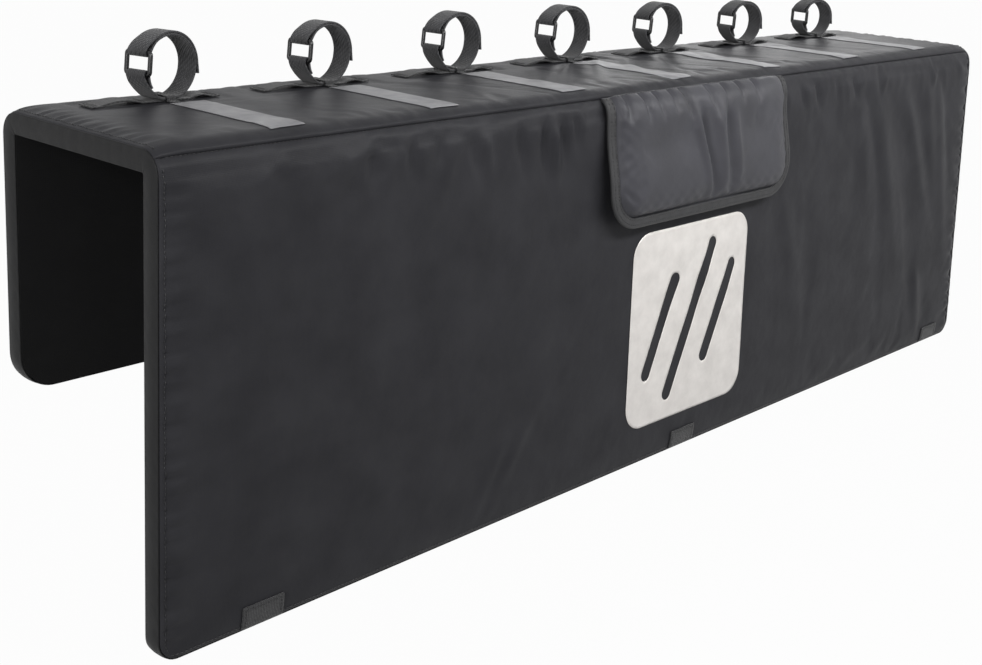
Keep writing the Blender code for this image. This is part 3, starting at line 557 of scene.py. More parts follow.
# %% Simulation
def settle(points, spare, swell, steps, bend=0.4):
    """Moves of a pinned sheet's points after a cloth simulation, as an array like points."""
    rows, columns = points.shape[:2]
    mesh = bpy.data.meshes.new("settling_cloth")
    mesh.from_pydata(points.reshape(-1, 3).tolist(), [], grid_faces(rows, columns).tolist())
    cloth = add_object("settling_cloth", mesh)
    sewn = cloth.vertex_groups.new(name="sewn")
    sewn.add(border(rows, columns).tolist(), 1.0, "REPLACE")
    modifier = cloth.modifiers.new("cloth", "CLOTH")
    modifier.settings.quality = 4
    modifier.settings.mass = 0.15
    modifier.settings.tension_stiffness = 12
    modifier.settings.compression_stiffness = 12
    modifier.settings.shear_stiffness = 5
    modifier.settings.bending_stiffness = bend
    modifier.settings.vertex_group_mass = "sewn"
    modifier.settings.shrink_min = -spare
    modifier.settings.use_pressure = True
    modifier.settings.uniform_pressure_force = swell
    modifier.settings.effector_weights.gravity = 0.0
    modifier.collision_settings.use_collision = False
    modifier.point_cache.frame_start = 1
    modifier.point_cache.frame_end = steps
    for step in range(1, steps + 1):
        bpy.context.scene.frame_set(step)
    settled = cloth.evaluated_get(bpy.context.evaluated_depsgraph_get())
    moved = np.empty(rows * columns * 3)
    settled.data.vertices.foreach_get("co", moved)
    bpy.data.objects.remove(cloth)
    bpy.context.scene.frame_set(1)
    return moved.reshape(points.shape) - points


def spaced(low, high, step):
    """Values from low to high, about step apart, and closer beside both ends."""
    near = np.array([0.0, 0.0007, 0.0018, 0.0034])
    inner = np.linspace(low + 0.006, high - 0.006, int((high - low) / step))
    return np.concatenate([low + near, inner, high - near[::-1]])


class Panel:
    """A stuffed panel from seam to seam, kept as a height for each point of a grid."""

    def __init__(self, start, end, stuffing, folds, step):
        """Grid rows are distances s, its columns shares of the half length."""
        self.start = start
        self.end = end
        self.rows = spaced(start, end, step)
        self.shares = spaced(-LENGTH / 2, LENGTH / 2, step) / (LENGTH / 2)
        self.s = np.broadcast_to(self.rows[:, None], (len(self.rows), len(self.shares)))
        self.x = self.shares[None, :] * half_length(self.s, INSET)
        self.level = stuffing(self.x, self.s, start, end) + folds(self.x, self.s)

    def simulate(self, spare, swell, steps, lowest, highest, hold):
        """Adds the simulated cloth's move, where hold(x, s) lets the cloth stand."""
        points = fold(self.x, self.s, self.level)
        move = settle(points, spare, swell, steps)
        rise = np.sum(move * outward(self.x, self.s), axis=-1)
        print("cloth moved between", rise.min().round(4), "and", rise.max().round(4), "m")
        self.level = self.level + np.clip(rise, lowest, highest) * hold(self.x, self.s)

    def height(self, x, s):
        """Height at any x and s, by linear steps between the four nearest grid points."""
        s = np.clip(np.asarray(s, float), self.start, self.end)
        share = np.clip(np.asarray(x, float) / half_length(s, INSET), -1.0, 1.0)
        row = np.interp(s, self.rows, np.arange(len(self.rows)))
        column = np.interp(share, self.shares, np.arange(len(self.shares)))
        i = np.minimum(row.astype(int), len(self.rows) - 2)
        j = np.minimum(column.astype(int), len(self.shares) - 2)
        up = row - i
        on = column - j
        low = self.level[i, j] * (1 - on) + self.level[i, j + 1] * on
        high = self.level[i + 1, j] * (1 - on) + self.level[i + 1, j + 1] * on
        return low * (1 - up) + high * up

    def body(self, name, material):
        """The closed stuffed body, from its cover's face to just short of the lining."""
        outer = fold(self.x, self.s, self.level)
        inner = fold(self.x, self.s, -THICKNESS + INSET)
        return shell(name, outer, inner, np.stack([self.x, self.s], axis=-1), material)


# %% [markdown]
# ## Front panel
# The longest panel. Below its top seam the cloth makes a flat band, then a crease where the
# foam begins, and small gathers on both sides of the flap. Along its ends it is pulled in by
# the edge strip's stitches. Under the flap it has to lie flat for the fastening tape.


# %% Front panel's height
FLAP_LOW = FRONT_SEAM - FLAP_DROP


def under_flap(x, s):
    """1 under the handle flap, smoothly 0 outside it."""
    sides = smooth((x - flap_left + 0.02) / 0.02) * smooth((flap_right + 0.02 - x) / 0.02)
    return sides * smooth((s - FLAP_LOW + 0.02) / 0.02)


def end_puckers(x, s, start, end, height):
    """Short level puckers along the ends: a wave in s, strongest 12 mm from the edge."""
    edge = half_length(s, INSET) - np.abs(x)
    uneven = np.sin(s * 2 * np.pi / 0.083 + 1.3) * 0.5 + np.sin(s * 2 * np.pi / 0.031)
    wave = np.sin(s * 2 * np.pi / 0.0165 + 1.2 * uneven + 2.0 * np.sign(x))
    bell = smooth(edge / 0.006) * np.exp(-((edge - 0.013) / 0.014) ** 2)
    return height * wave * bell * smooth((s - start) / 0.02) * smooth((end - s) / 0.02)


def front_shape(x, s):
    """Folds by the table and the puckers at the ends."""
    ends = smooth((half_length(s, INSET) - np.abs(x)) / 0.03)
    folds = ridges(x, s, front_folds)
    return folds * ends * (1 - under_flap(x, s)) + end_puckers(x, s, INSET, FRONT_SEAM, 0.0021)


def front_slack(x, s):
    """Share of the simulated folds that shows: most near the seam and on the right."""
    near_seam = np.exp(-(FRONT_SEAM - s) / 0.05)
    right = smooth((x - 0.20) / 0.30)
    return (0.2 + 0.8 * np.maximum(near_seam, 0.35 * right)) * (1 - under_flap(x, s))


front = Panel(INSET, FRONT_SEAM - CLEARANCE / 2, front_stuffing, front_shape, step=0.0052)
front.simulate(
    spare=0.009, swell=0.6, steps=12, lowest=-0.0004, highest=0.0032, hold=front_slack
)

# %% [markdown]
# ## Handle window
# Behind the flap the front panel is cut out for the tailgate's handle. The cut goes through
# cover, foam and lining, so one cutter is used on both pieces, with a Boolean.

# %% Front panel and its window
window_s = FRONT_SEAM - WINDOW_BELOW_SEAM - WINDOW_HEIGHT / 2


def outline_cutter(name, width, height, radius, s, reach):
    """A block with round corners that stands on the front face around HANDLE_X and s."""
    turn = np.linspace(0.0, np.pi / 2, 9)
    corner = np.stack([np.cos(turn), np.sin(turn)], axis=-1) * radius
    middle = np.array([width / 2 - radius, height / 2 - radius])
    quarter = corner + middle
    mirror = quarter[::-1] * (-1, 1)
    loop = np.concatenate([quarter, mirror, -quarter, -mirror])
    x = HANDLE_X + loop[:, 0]
    rows = [fold(x, s + loop[:, 1], level) for level in reach]
    count = len(loop)
    ring = np.arange(count)
    after = np.roll(ring, -1)
    cutter = bmesh.new()
    spots = [cutter.verts.new(point) for point in np.concatenate(rows)]
    for a, b in zip(ring.tolist(), after.tolist()):
        cutter.faces.new([spots[a], spots[b], spots[b + count], spots[a + count]])
    cutter.faces.new([spots[k] for k in ring[::-1].tolist()])
    cutter.faces.new([spots[k + count] for k in ring.tolist()])
    bmesh.ops.recalc_face_normals(cutter, faces=cutter.faces)
    mesh = bpy.data.meshes.new(name)
    cutter.to_mesh(mesh)
    cutter.free()
    return add_object(name, mesh)


def cut_out(piece, cutter):
    """Takes the cutter's volume out of the piece and keeps the result as its mesh."""
    modifier = piece.modifiers.new("window", "BOOLEAN")
    modifier.operation = "DIFFERENCE"
    modifier.solver = "EXACT"
    modifier.object = cutter
    bpy.context.view_layer.update()
    cut = piece.evaluated_get(bpy.context.evaluated_depsgraph_get())
    mesh = bpy.data.meshes.new_from_object(cut)
    piece.modifiers.clear()
    piece.data = mesh


window_grow = 2 * (WINDOW_TAPE + CLEARANCE)
cut_width = WINDOW_WIDTH + window_grow
cut_height = WINDOW_HEIGHT + window_grow
cut_radius = WINDOW_RADIUS + window_grow / 2
cut_reach = (-0.03, 0.015)
window_cutter = outline_cutter(
    "window_cutter", cut_width, cut_height, cut_radius, window_s, cut_reach
)
front_panel = front.body("front_panel", cover_cloth)
cut_out(front_panel, window_cutter)
dress(front_panel, ["front_cover", "front_foam"])

# %% [markdown]
# ## Top and rear panels
# The top is pulled into long slanting wrinkles between the middle straps and the flap, where
# the real pad sags. Under the straps' webbing it is sewn flat.

# %% Top panel's height
STRAPS = 7
STRAP_PITCH = 0.2114
STRAP_Y = 0.076
strap_s = TOP_MIDDLE + STRAP_Y
strap_x = (np.arange(STRAPS) - 3) * STRAP_PITCH
top_folds = np.concatenate([
    pucker_table(21, -0.77, 0.77, FRONT_SEAM + 0.045, 0.027, 0.04, 0.0007),
    np.array([
        (-0.020, TOP_MIDDLE + 0.050, 0.135, -1.30, 0.009, 0.0018),
        (0.030, TOP_MIDDLE + 0.045, 0.140, -1.15, 0.008, 0.0020),
        (0.090, TOP_MIDDLE + 0.045, 0.135, -1.00, 0.010, 0.0018),
        (0.150, TOP_MIDDLE + 0.045, 0.130, -0.85, 0.009, 0.0016),
        (-0.110, TOP_MIDDLE + 0.040, 0.120, -0.80, 0.012, 0.0016),
        (0.260, TOP_MIDDLE + 0.045, 0.120, -0.60, 0.011, 0.0014),
        (0.440, TOP_MIDDLE + 0.045, 0.120, 0.55, 0.012, 0.0014),
        (-0.330, TOP_MIDDLE + 0.045, 0.120, 0.45, 0.013, 0.0013),
        (-0.540, TOP_MIDDLE + 0.040, 0.110, -0.50, 0.014, 0.0012),
        (0.660, TOP_MIDDLE + 0.040, 0.110, -0.40, 0.012, 0.0013),
    ]),
])


def under_straps(x, s):
    """1 where the straps' webbing is sewn to the top, smoothly 0 outside."""
    beside = np.min(np.abs(x[..., None] - strap_x + 0.0185), axis=-1)
    return smooth((0.090 - beside) / 0.010) * smooth((0.030 - np.abs(s - strap_s)) / 0.008)


def top_shape(x, s):
    """The top's wrinkles, pressed flat under the webbing."""
    ends = smooth((half_length(s, INSET) - np.abs(x)) / 0.03)
    folds = ridges(x, s, top_folds) * ends + end_puckers(x, s, FRONT_SEAM, REAR_SEAM, 0.0008)
    return folds * (1 - under_straps(x, s)) - 0.0004 * under_straps(x, s)


def top_slack(x, s):
    """Share of the simulated folds that shows: most behind the flap, none under straps."""
    middle = np.exp(-((x - 0.05) / 0.30) ** 2)
    return (0.35 + 0.65 * middle) * (1 - under_straps(x, s))


top_start = FRONT_SEAM + CLEARANCE / 2
top = Panel(top_start, REAR_SEAM - CLEARANCE / 2, puff, top_shape, step=0.0046)
top.simulate(spare=0.010, swell=0.5, steps=12, lowest=-0.0003, highest=0.0019, hold=top_slack)
top_panel = top.body("top_panel", cover_cloth)
dress(top_panel, ["top_cover", "top_foam"])

# %% [markdown]
# The rear panel hangs on the inside, towards the vehicle's bed. The photograph shows only its
# lining and one end, so its cover is plain: gathers at its seam and puckers at its ends, made
# as on the front.

# %% Rear panel
rear_folds = pucker_table(31, -0.77, 0.77, REAR_SEAM + 0.075, 0.022, 0.07, 0.0014)


def rear_shape(x, s):
    """Gathers under the rear seam and puckers at the ends."""
    ends = smooth((half_length(s, INSET) - np.abs(x)) / 0.03)
    return ridges(x, s, rear_folds) * ends + end_puckers(x, s, REAR_SEAM, GIRTH - INSET, 0.0014)


def rear_slack(x, s):
    """Share of the simulated folds that shows: the same all over the rear panel."""
    return np.full(np.shape(x), 0.7)


rear = Panel(REAR_SEAM + CLEARANCE / 2, GIRTH - INSET, puff, rear_shape, step=0.0056)
rear.simulate(
    spare=0.009, swell=0.6, steps=12, lowest=-0.0004, highest=0.0032, hold=rear_slack
)
rear_panel = rear.body("rear_panel", cover_cloth)
dress(rear_panel, ["rear_cover", "rear_foam"])

# %% [markdown]
# ## Lining
# One sheet of brushed knit over the whole inside. It lies on the tailgate, so it is flat but
# for the small waves between its stitches, and it has the window's opening too.


# %% Lining
def lining_sheet():
    """The lining as a closed thin sheet with waves of a third of a millimetre."""
    rows = spaced(INSET, GIRTH - INSET, 0.008)
    shares = spaced(-LENGTH / 2, LENGTH / 2, 0.010) / (LENGTH / 2)
    s = np.broadcast_to(rows[:, None], (len(rows), len(shares)))
    x = shares[None, :] * half_length(s, INSET)
    edge = smooth((half_length(s, INSET) - np.abs(x)) / 0.03)
    edge = edge * smooth((s - INSET) / 0.03) * smooth((GIRTH - INSET - s) / 0.03)
    waves = np.sin(x * 61 + 2 * np.sin(s * 23)) * np.sin(s * 47 + 2 * np.sin(x * 19))
    level = 0.00025 * (1 + waves) * edge
    outer = fold(x, s, FABRIC - THICKNESS)
    inner = fold(x, s, level - THICKNESS)
    return shell("lining_sheet", outer, inner, np.stack([x, s], axis=-1), shaded_lining_cloth)


lining = lining_sheet()
cut_out(lining, window_cutter)
bpy.data.objects.remove(window_cutter)
dress(lining, ["lining"])

# %% [markdown]
# ## Edge strip
# The strip that closes the pad's edge is the covers' cloth, coloured near black as painted
# shade for the pad's unlit ends. It is sewn along both sides, so it bulges between its seams
# and puckers at each. It is one closed band: a small closed profile is carried round the
# pad's outline, and both directions of the grid are closed. A flat wall would be simpler,
# but the eye knows an edge by that bulge.


# %% Outline of the pad and the edge strip
def resample(path, step, closed=False):
    """Points about step apart along a path, by its length."""
    if closed:
        path = np.concatenate([path, path[:1]])
    size = np.linalg.norm(np.diff(path, axis=0), axis=1)
    run = np.concatenate([[0.0], np.cumsum(size)])
    count = max(int(round(run[-1] / step)), 2)
    spots = np.linspace(0.0, run[-1], count + 1)
    if closed:
        spots = spots[:-1]
    return np.stack([np.interp(spots, run, path[:, k]) for k in range(path.shape[1])], axis=-1)


def pad_outline(inset, step):
    """The pad's outline in the flat pattern, anticlockwise from the front hem's middle."""
    turn = np.linspace(0.0, np.pi / 2, 17)
    near = FRONT_CORNER - inset
    far = REAR_CORNER - inset
    half = LENGTH / 2 - inset
    low = np.stack([half - near + near * np.sin(turn), inset + near - near * np.cos(turn)], axis=-1)
    top_s = GIRTH - inset - far
    high = np.stack([half - far + far * np.cos(turn), top_s + far * np.sin(turn)], axis=-1)
    right = np.concatenate([low, high])
    left = right[::-1] * (-1, 1)
    return resample(np.concatenate([right, left]), step, closed=True)


def inward_normals(path):
    """Unit normals to the left of a closed path's direction."""
    run = np.roll(path, -1, axis=0) - np.roll(path, 1, axis=0)
    run = run / np.linalg.norm(run, axis=1, keepdims=True)
    return np.stack([-run[:, 1], run[:, 0]], axis=-1)


def edge_strip():
    """A closed profile carried round the outline; it bulges half a millimetre and more."""
    path = pad_outline(0.0, 0.0042)
    normal = inward_normals(path)
    run = np.arange(len(path)) * 0.0042
    pull = 0.5 + 0.5 * np.sin(run * 2 * np.pi / 0.0185 + 2.2 * np.sin(run * 2 * np.pi / 0.31))
    depth = np.array([0.0, 0.06, 0.2, 0.35, 0.5, 0.65, 0.8, 0.94, 1.0])
    swell = np.sin(np.pi * depth) ** 0.7
    near_seam = np.exp(-((depth - 0.12) / 0.1) ** 2) + np.exp(-((depth - 0.88) / 0.1) ** 2)
    bulge = 0.0009 * swell[None, :] - 0.0005 * near_seam[None, :] * pull[:, None]
    bulge[:, 0] = 0.0
    bulge[:, -1] = 0.0
    inner_bulge = np.minimum(bulge, 0.0)[:, ::-1] - FABRIC
    out = np.concatenate([bulge, inner_bulge], axis=1)
    level = -THICKNESS * np.concatenate([depth, depth[::-1]])
    x = path[:, 0, None] - normal[:, 0, None] * out
    s = path[:, 1, None] - normal[:, 1, None] * out
    points = fold(x, s, np.broadcast_to(level, x.shape))
    uv = np.stack(np.broadcast_arrays(run[:, None], level[None, :]), axis=-1)
    faces = grid_faces(len(path), out.shape[1], close_rows=True, close_columns=True)
    return put_mesh("edge_strip", points, faces[:, ::-1], uv, shaded_strip_cloth)


dress(edge_strip(), ["edge_boxing"])

# %% [markdown]
# ## Handle flap
# A small cushion sewn into the front seam: foam in cover cloth, deepest in the middle, flat
# under the binding that is folded over its three free edges. Its cloth is gathered into the
# seam, so it stands in upright folds there, and two long folds run down its face.

# %% Flap's shape
FLAP_CORNER = 0.048
FLAP_FABRIC = 0.001
FLAP_PUFF = 0.012
FLAP_PUFF_EDGE = 0.032
BINDING_LIP = 0.012
BINDING_TAPE = 0.0012
FASTENER_TAPE = 0.0015
FASTENER_HEIGHT = 0.016
FASTENER_WIDTH = 0.22
FASTENER_ABOVE_EDGE = 0.0225
FLAP_STAND = PUFF + 2 * (FASTENER_TAPE + CLEARANCE)
FLAP_TOP = FRONT_SEAM - CLEARANCE


def flap_back(s):
    """Level of the flap's back: sewn at the seam, clear of the tapes, free at its foot."""
    drop = FRONT_SEAM - s
    return CLEARANCE + FLAP_STAND * rounded(drop, PUFF_EDGE) + 0.011 * smooth((drop - 0.03) / 0.09)


def flap_half(s, inset=0.0):
    """Half the flap's width at s, with its round lower corners."""
    return FLAP_WIDTH / 2 - inset - corner_cut(s - FLAP_LOW - inset, FLAP_CORNER - inset)


def flap_edge(x, s):
    """Distance from the flap's outline, measured round its lower corners."""
    aside = np.abs(x - HANDLE_X) - FLAP_WIDTH / 2 + FLAP_CORNER
    below = FLAP_LOW + FLAP_CORNER - s
    corner = np.hypot(np.maximum(aside, 0.0), np.maximum(below, 0.0))
    inside = np.maximum(aside, below)
    return FLAP_CORNER - np.where((aside > 0) & (below > 0), corner, inside)


flap_folds = np.concatenate([
    pucker_table(42, flap_left + 0.02, flap_right - 0.02, FRONT_SEAM - 0.006, 0.045, 0.07, 0.0012),
    np.array([
        (-0.169, FRONT_SEAM, 0.030, 0.10, 0.0042, -0.0040),
        (-0.141, FRONT_SEAM, 0.034, -0.10, 0.0045, -0.0048),
        (-0.112, FRONT_SEAM, 0.038, 0.15, 0.0042, -0.0050),
        (-0.086, FRONT_SEAM, 0.036, 0.20, 0.0040, -0.0052),
        (-0.055, FRONT_SEAM, 0.030, 0.10, 0.0040, -0.0040),
        (-0.031, FRONT_SEAM, 0.050, 0.30, 0.0048, -0.0066),
        (0.023, FRONT_SEAM, 0.050, 0.25, 0.0050, -0.0066),
        (0.060, FRONT_SEAM, 0.034, -0.10, 0.0042, -0.0044),
        (0.090, FRONT_SEAM, 0.030, 0.10, 0.0040, -0.0036),
        (0.129, FRONT_SEAM, 0.032, -0.10, 0.0042, -0.0040),
        (-0.020, FRONT_SEAM - 0.012, 0.175, 0.28, 0.0075, 0.0056),
        (-0.005, FRONT_SEAM - 0.014, 0.165, 0.24, 0.0060, -0.0046),
        (0.034, FRONT_SEAM - 0.008, 0.180, 0.06, 0.0110, 0.0064),
        (0.054, FRONT_SEAM - 0.014, 0.165, 0.05, 0.0065, -0.0042),
        (0.070, FRONT_SEAM - 0.022, 0.140, 0.05, 0.0070, 0.0030),
    ]),
])


def flap_face(x, s):
    """Level of the flap's face: back, cloth, stuffing and folds."""
    inside = flap_edge(x, s) - BINDING_LIP - 2 * BINDING_TAPE
    drop = FRONT_SEAM - s
    seam = 0.3 * rounded(drop, 0.004) + 0.7 * rounded(drop, FLAP_PUFF_EDGE)
    stuffed = rounded(inside, FLAP_PUFF_EDGE) * seam
    folds = ridges(x, s, flap_folds) * smooth(inside / 0.014)
    edge_wave = np.sin(x * 2 * np.pi / 0.021 + 1.5 * np.sin(s * 70))
    edge_wave = edge_wave * np.sin(s * 2 * np.pi / 0.019 + x * 9)
    puckers = 0.0013 * edge_wave * smooth(inside / 0.004) * np.exp(-inside / 0.012)
    return flap_back(s) + 2 * FLAP_FABRIC + CLEARANCE + FLAP_PUFF * stuffed + folds + puckers


# %% [markdown]
# The flap's grid is closer where its face turns: at the binding's lip, at the seam, and
# towards both sides. The same simulation as on the panels then lets its cloth stand, but not
# under the binding, where it is held down. Its lining is the same grid, thinned.

# %% Flap's grid, simulation and cushion
flap_rows = np.concatenate([
    FLAP_LOW + CLEARANCE + np.array([0.0, 0.0005, 0.0015, 0.003, 0.005, 0.0075, 0.0100, 0.0120]),
    np.linspace(FLAP_LOW + BINDING_LIP + BINDING_TAPE + 0.001, FLAP_TOP - 0.006, 58),
    FLAP_TOP - np.array([0.004, 0.0024, 0.0012, 0.0005, 0.0]),
])
flap_shares = np.sin(np.linspace(-np.pi / 2, np.pi / 2, 161) * 0.88) / np.sin(0.88 * np.pi / 2)
flap_s = np.broadcast_to(flap_rows[:, None], (len(flap_rows), len(flap_shares)))
flap_x = HANDLE_X + flap_shares[None, :] * flap_half(flap_s, CLEARANCE)
flap_level = flap_face(flap_x, flap_s)
flap_points = fold(flap_x, flap_s, flap_level)
flap_move = settle(flap_points, spare=0.014, swell=1.2, steps=14, bend=0.6)
flap_rise = np.sum(flap_move * outward(flap_x, flap_s), axis=-1)
print("flap cloth moved between", flap_rise.min().round(4), "and", flap_rise.max().round(4))
inside_lip = smooth((flap_edge(flap_x, flap_s) - BINDING_LIP - BINDING_TAPE) / 0.006)
flap_level = flap_level + np.clip(flap_rise, -0.0012, 0.0022) * inside_lip
flap_pattern = np.stack([flap_x, flap_s], axis=-1)
flap_cushion = shell(
    "flap_cushion",
    fold(flap_x, flap_s, flap_level),
    fold(flap_x, flap_s, flap_back(flap_s) + FLAP_FABRIC + CLEARANCE / 2),
    flap_pattern,
    flap_cloth,
)
dress(flap_cushion, ["flap_cover", "flap_foam"])

flap_lining_sheet = shell(
    "flap_lining_sheet",
    fold(flap_x[::2, ::4], flap_s[::2, ::4], flap_back(flap_s[::2, ::4]) + FLAP_FABRIC),
    fold(flap_x[::2, ::4], flap_s[::2, ::4], flap_back(flap_s[::2, ::4])),
    flap_pattern[::2, ::4],
    shaded_lining_cloth,
)
dress(flap_lining_sheet, ["flap_lining"])


# %% [markdown]
# Two fastening tapes face each other under the flap: loops on the cover, hooks on the flap's
# back. Both follow what they are sewn to.

# %% Fastening tapes
tape_x, tape_s = np.meshgrid(
    np.linspace(HANDLE_X - FASTENER_WIDTH / 2, HANDLE_X + FASTENER_WIDTH / 2, 45),
    FLAP_LOW + FASTENER_ABOVE_EDGE + np.linspace(-0.5, 0.5, 6) * FASTENER_HEIGHT,
)
tape_pattern = np.stack([tape_x, tape_s], axis=-1)
loop_base = front.height(tape_x, tape_s) + CLEARANCE
loop_tape = shell(
    "loop_tape",
    fold(tape_x, tape_s, loop_base + FASTENER_TAPE),
    fold(tape_x, tape_s, loop_base),
    tape_pattern,
    hook_tape,
)
dress(loop_tape, ["flap_loop_tape"])
hook_base = flap_back(tape_s) - CLEARANCE
hooks = shell(
    "hook_tape",
    fold(tape_x, tape_s, hook_base),
    fold(tape_x, tape_s, hook_base - FASTENER_TAPE),
    tape_pattern,
    hook_tape,
)
dress(hooks, ["flap_hook_tape"])

# %% [markdown]
# ## Binding of the flap
# Tape folded over the free edges. Its section is a hairpin: a lip on the face, a round turn
# and a lip on the back. The section is carried along the flap's outline, and Solidify
# gives the tape its wall.


# %% Flap binding
def carried(name, path, inward, lip, level_of, material, thickness):
    """A section of lip and level values carried along a path of the flat pattern."""
    x = path[:, 0, None] + inward[:, 0, None] * lip[None, :]
    s = path[:, 1, None] + inward[:, 1, None] * lip[None, :]
    points = fold(x, s, level_of(x, s))
    run = np.concatenate([[0.0], np.cumsum(np.linalg.norm(np.diff(path, axis=0), axis=1))])
    girth = np.concatenate([[0.0], np.cumsum(np.abs(np.diff(lip)) + 1e-4)])
    uv = np.stack(np.broadcast_arrays(girth[None, :], run[:, None]), axis=-1)
    made = put_mesh(name, points, grid_faces(*x.shape), uv, material)
    wall = made.modifiers.new("wall", "SOLIDIFY")
    wall.thickness = thickness
    wall.offset = 1.0
    wall.use_even_offset = True
    return made


def flap_outline(step):
    """The flap's free outline from its left end of the seam to its right end."""
    turn = np.linspace(0.0, np.pi / 2, 21)
    half = FLAP_WIDTH / 2
    corner = np.stack([
        half - FLAP_CORNER + FLAP_CORNER * np.sin(turn),
        FLAP_LOW + FLAP_CORNER - FLAP_CORNER * np.cos(turn),
    ], axis=-1)
    right = np.concatenate([corner, [[half, FLAP_TOP - 0.002]]])
    left = right[::-1] * (-1, 1)
    path = resample(np.concatenate([left, right]), step)
    return path + (HANDLE_X, 0.0)


def open_normals(path):
    """Unit normals to the left of an open path's direction."""
    run = np.gradient(path, axis=0)
    run = run / np.linalg.norm(run, axis=1, keepdims=True)
    return np.stack([-run[:, 1], run[:, 0]], axis=-1)


binding_path = flap_outline(0.004)
binding_inward = open_normals(binding_path)
half_stack = FLAP_FABRIC + CLEARANCE
binding_turn = np.linspace(0.5, -0.5, 7) * np.pi
binding_lip = np.concatenate([
    [BINDING_LIP, 0.010, 0.006, 0.003],
    half_stack * (1 - np.cos(binding_turn)),
    [0.003, 0.006, 0.010, BINDING_LIP],
])
binding_rise = np.concatenate([np.ones(4), np.sin(binding_turn), -np.ones(4)])
binding_run = np.arange(len(binding_path)) * 0.004
binding_pull = np.sin(binding_run * 2 * np.pi / 0.017 + np.sin(binding_run * 2 * np.pi / 0.11) * 2)


def binding_level(x, s):
    """The tape's level: halfway up the flap's layers plus its own hairpin."""
    flat_lip = np.exp(-((binding_lip - 0.006) / 0.003) ** 2) * (binding_rise > 0.9)
    ripple = 0.00025 * (1 + binding_pull[:, None]) * flat_lip[None, :]
    return flap_back(s) + FLAP_FABRIC + CLEARANCE / 2 + half_stack * binding_rise[None, :] + ripple


flap_tape = carried(
    "flap_binding_tape",
    binding_path,
    binding_inward,
    binding_lip,
    binding_level,
    binding_cloth,
    BINDING_TAPE,
)
dress(flap_tape, ["flap_binding"])

# %% [markdown]
# ## Straps
# Each strap is sewn round the buckle's lower bar, passes under the ring, up and over through
# the buckle, and back over itself to its loose end. Its middle line is worked out as points
# on an ellipse, moved out where one layer lies on another, and a flat profile with rounded
# edges is carried along it.

# %% Strap's middle line
STRAP_WIDTH = 0.025
STRAP_THICKNESS = 0.0024
RING_HALF_WIDTH = 0.0385
RING_HALF_HEIGHT = 0.0345
RING_FLAT = 0.0016
RING_CLOSED = (0.97, 0.97, 1.0, 1.0, 0.95, 0.88, 0.82)
RING_OFFSET = -0.005
STRAP_FAN = math.radians(4.2)
UPPER_BAR = 150.0
BLEND_ANGLE = 30.0
TAIL_FLARE = 0.0028
BUCKLE_HEIGHT = 0.0225
BUCKLE_ROD = 0.0045
BUCKLE_SIDE_GAP = 0.001
BUCKLE_CORNER = 0.0029
LAYER = STRAP_THICKNESS + CLEARANCE
WRAP_RADIUS = (BUCKLE_ROD / 2 + CLEARANCE + STRAP_THICKNESS / 2) / math.cos(math.pi / 10)


def ring_normal(angle):
    """Outward direction (x, z) of the ring at angles in degrees."""
    turn = np.radians(angle)
    normal = np.stack([np.cos(turn) / RING_HALF_WIDTH, np.sin(turn) / RING_HALF_HEIGHT], axis=-1)
    return normal / np.linalg.norm(normal, axis=-1, keepdims=True)


def ring_point(closed, angle, offset):
    """Point on the ring's ellipse, flattened below, moved out along its normal."""
    turn = np.radians(angle)
    floor = RING_FLAT - closed * RING_HALF_HEIGHT
    z = np.maximum(closed * RING_HALF_HEIGHT * np.sin(turn), floor)
    x = closed * RING_HALF_WIDTH * np.cos(turn)
    return np.stack([x, z], axis=-1) + ring_normal(angle) * np.asarray(offset, float)[..., None]


def towards_bar(angle, bar, far, near):
    """Offset that goes smoothly from near at the bar to far, BLEND_ANGLE away."""
    return near + (far - near) * smooth(np.abs(angle - bar) / BLEND_ANGLE)


def lower_bar(closed):
    """Angle of the lower bar: one buckle height below the upper one, measured straight."""
    angles = np.linspace(UPPER_BAR, UPPER_BAR + 90, 4001)
    upper = ring_point(closed, np.array(UPPER_BAR), LAYER / 2)
    away = np.linalg.norm(ring_point(closed, angles, -LAYER / 2 + 0 * angles) - upper, axis=1)
    return float(np.interp(BUCKLE_HEIGHT, away, angles))


def wrapped(centre, angle, towards):
    """Half circle round a bar, from the ring's inside to its outside."""
    out = ring_normal(np.array(angle))
    along = np.array([-out[1], out[0]]) * towards
    turn = np.linspace(0.0, np.pi, 13)
    return centre + WRAP_RADIUS * (along * np.sin(turn)[:, None] - out * np.cos(turn)[:, None])


def strap_line(closed):
    """The strap's middle line in the ring's plane, from its sewn end to its loose end."""
    low = lower_bar(closed)
    near = np.array([10.0, 15.0, 20.0, 25.0, 30.0]) + low
    far = near[::-1]
    tail = ring_point(closed, far, towards_bar(far, low, -LAYER, -LAYER / 2 - WRAP_RADIUS))
    rise = ring_point(closed, near, towards_bar(near, low, 0.0, WRAP_RADIUS - LAYER / 2))
    bottom_angles = np.arange(234.0, 351.0, 4.5)
    bottom = ring_point(closed, bottom_angles, 0 * bottom_angles)
    over = np.arange(0.0, 141.0, 5.0)
    inner = ring_point(closed, over, towards_bar(over, UPPER_BAR, 0.0, LAYER / 2 - WRAP_RADIUS))
    back = over[::-1]
    outer = ring_point(closed, back, towards_bar(back, UPPER_BAR, LAYER, LAYER / 2 + WRAP_RADIUS))
    loose = ring_point(closed, np.array([-7.0, -15.0]), LAYER + TAIL_FLARE * np.array([0.34, 1.0]))
    down = wrapped(ring_point(closed, np.array(low), -LAYER / 2), low, -1)
    turn = wrapped(ring_point(closed, np.array(UPPER_BAR), LAYER / 2), UPPER_BAR, 1)
    return np.concatenate([tail, down, rise, bottom, inner, turn, outer, loose])


# %% [markdown]
# A band's profile is closed and so are its two ends, so it is a solid that could be printed.
# Which way its faces look depends on the line's direction, so they are turned outward after
# that: outward is where the signed volume is positive.


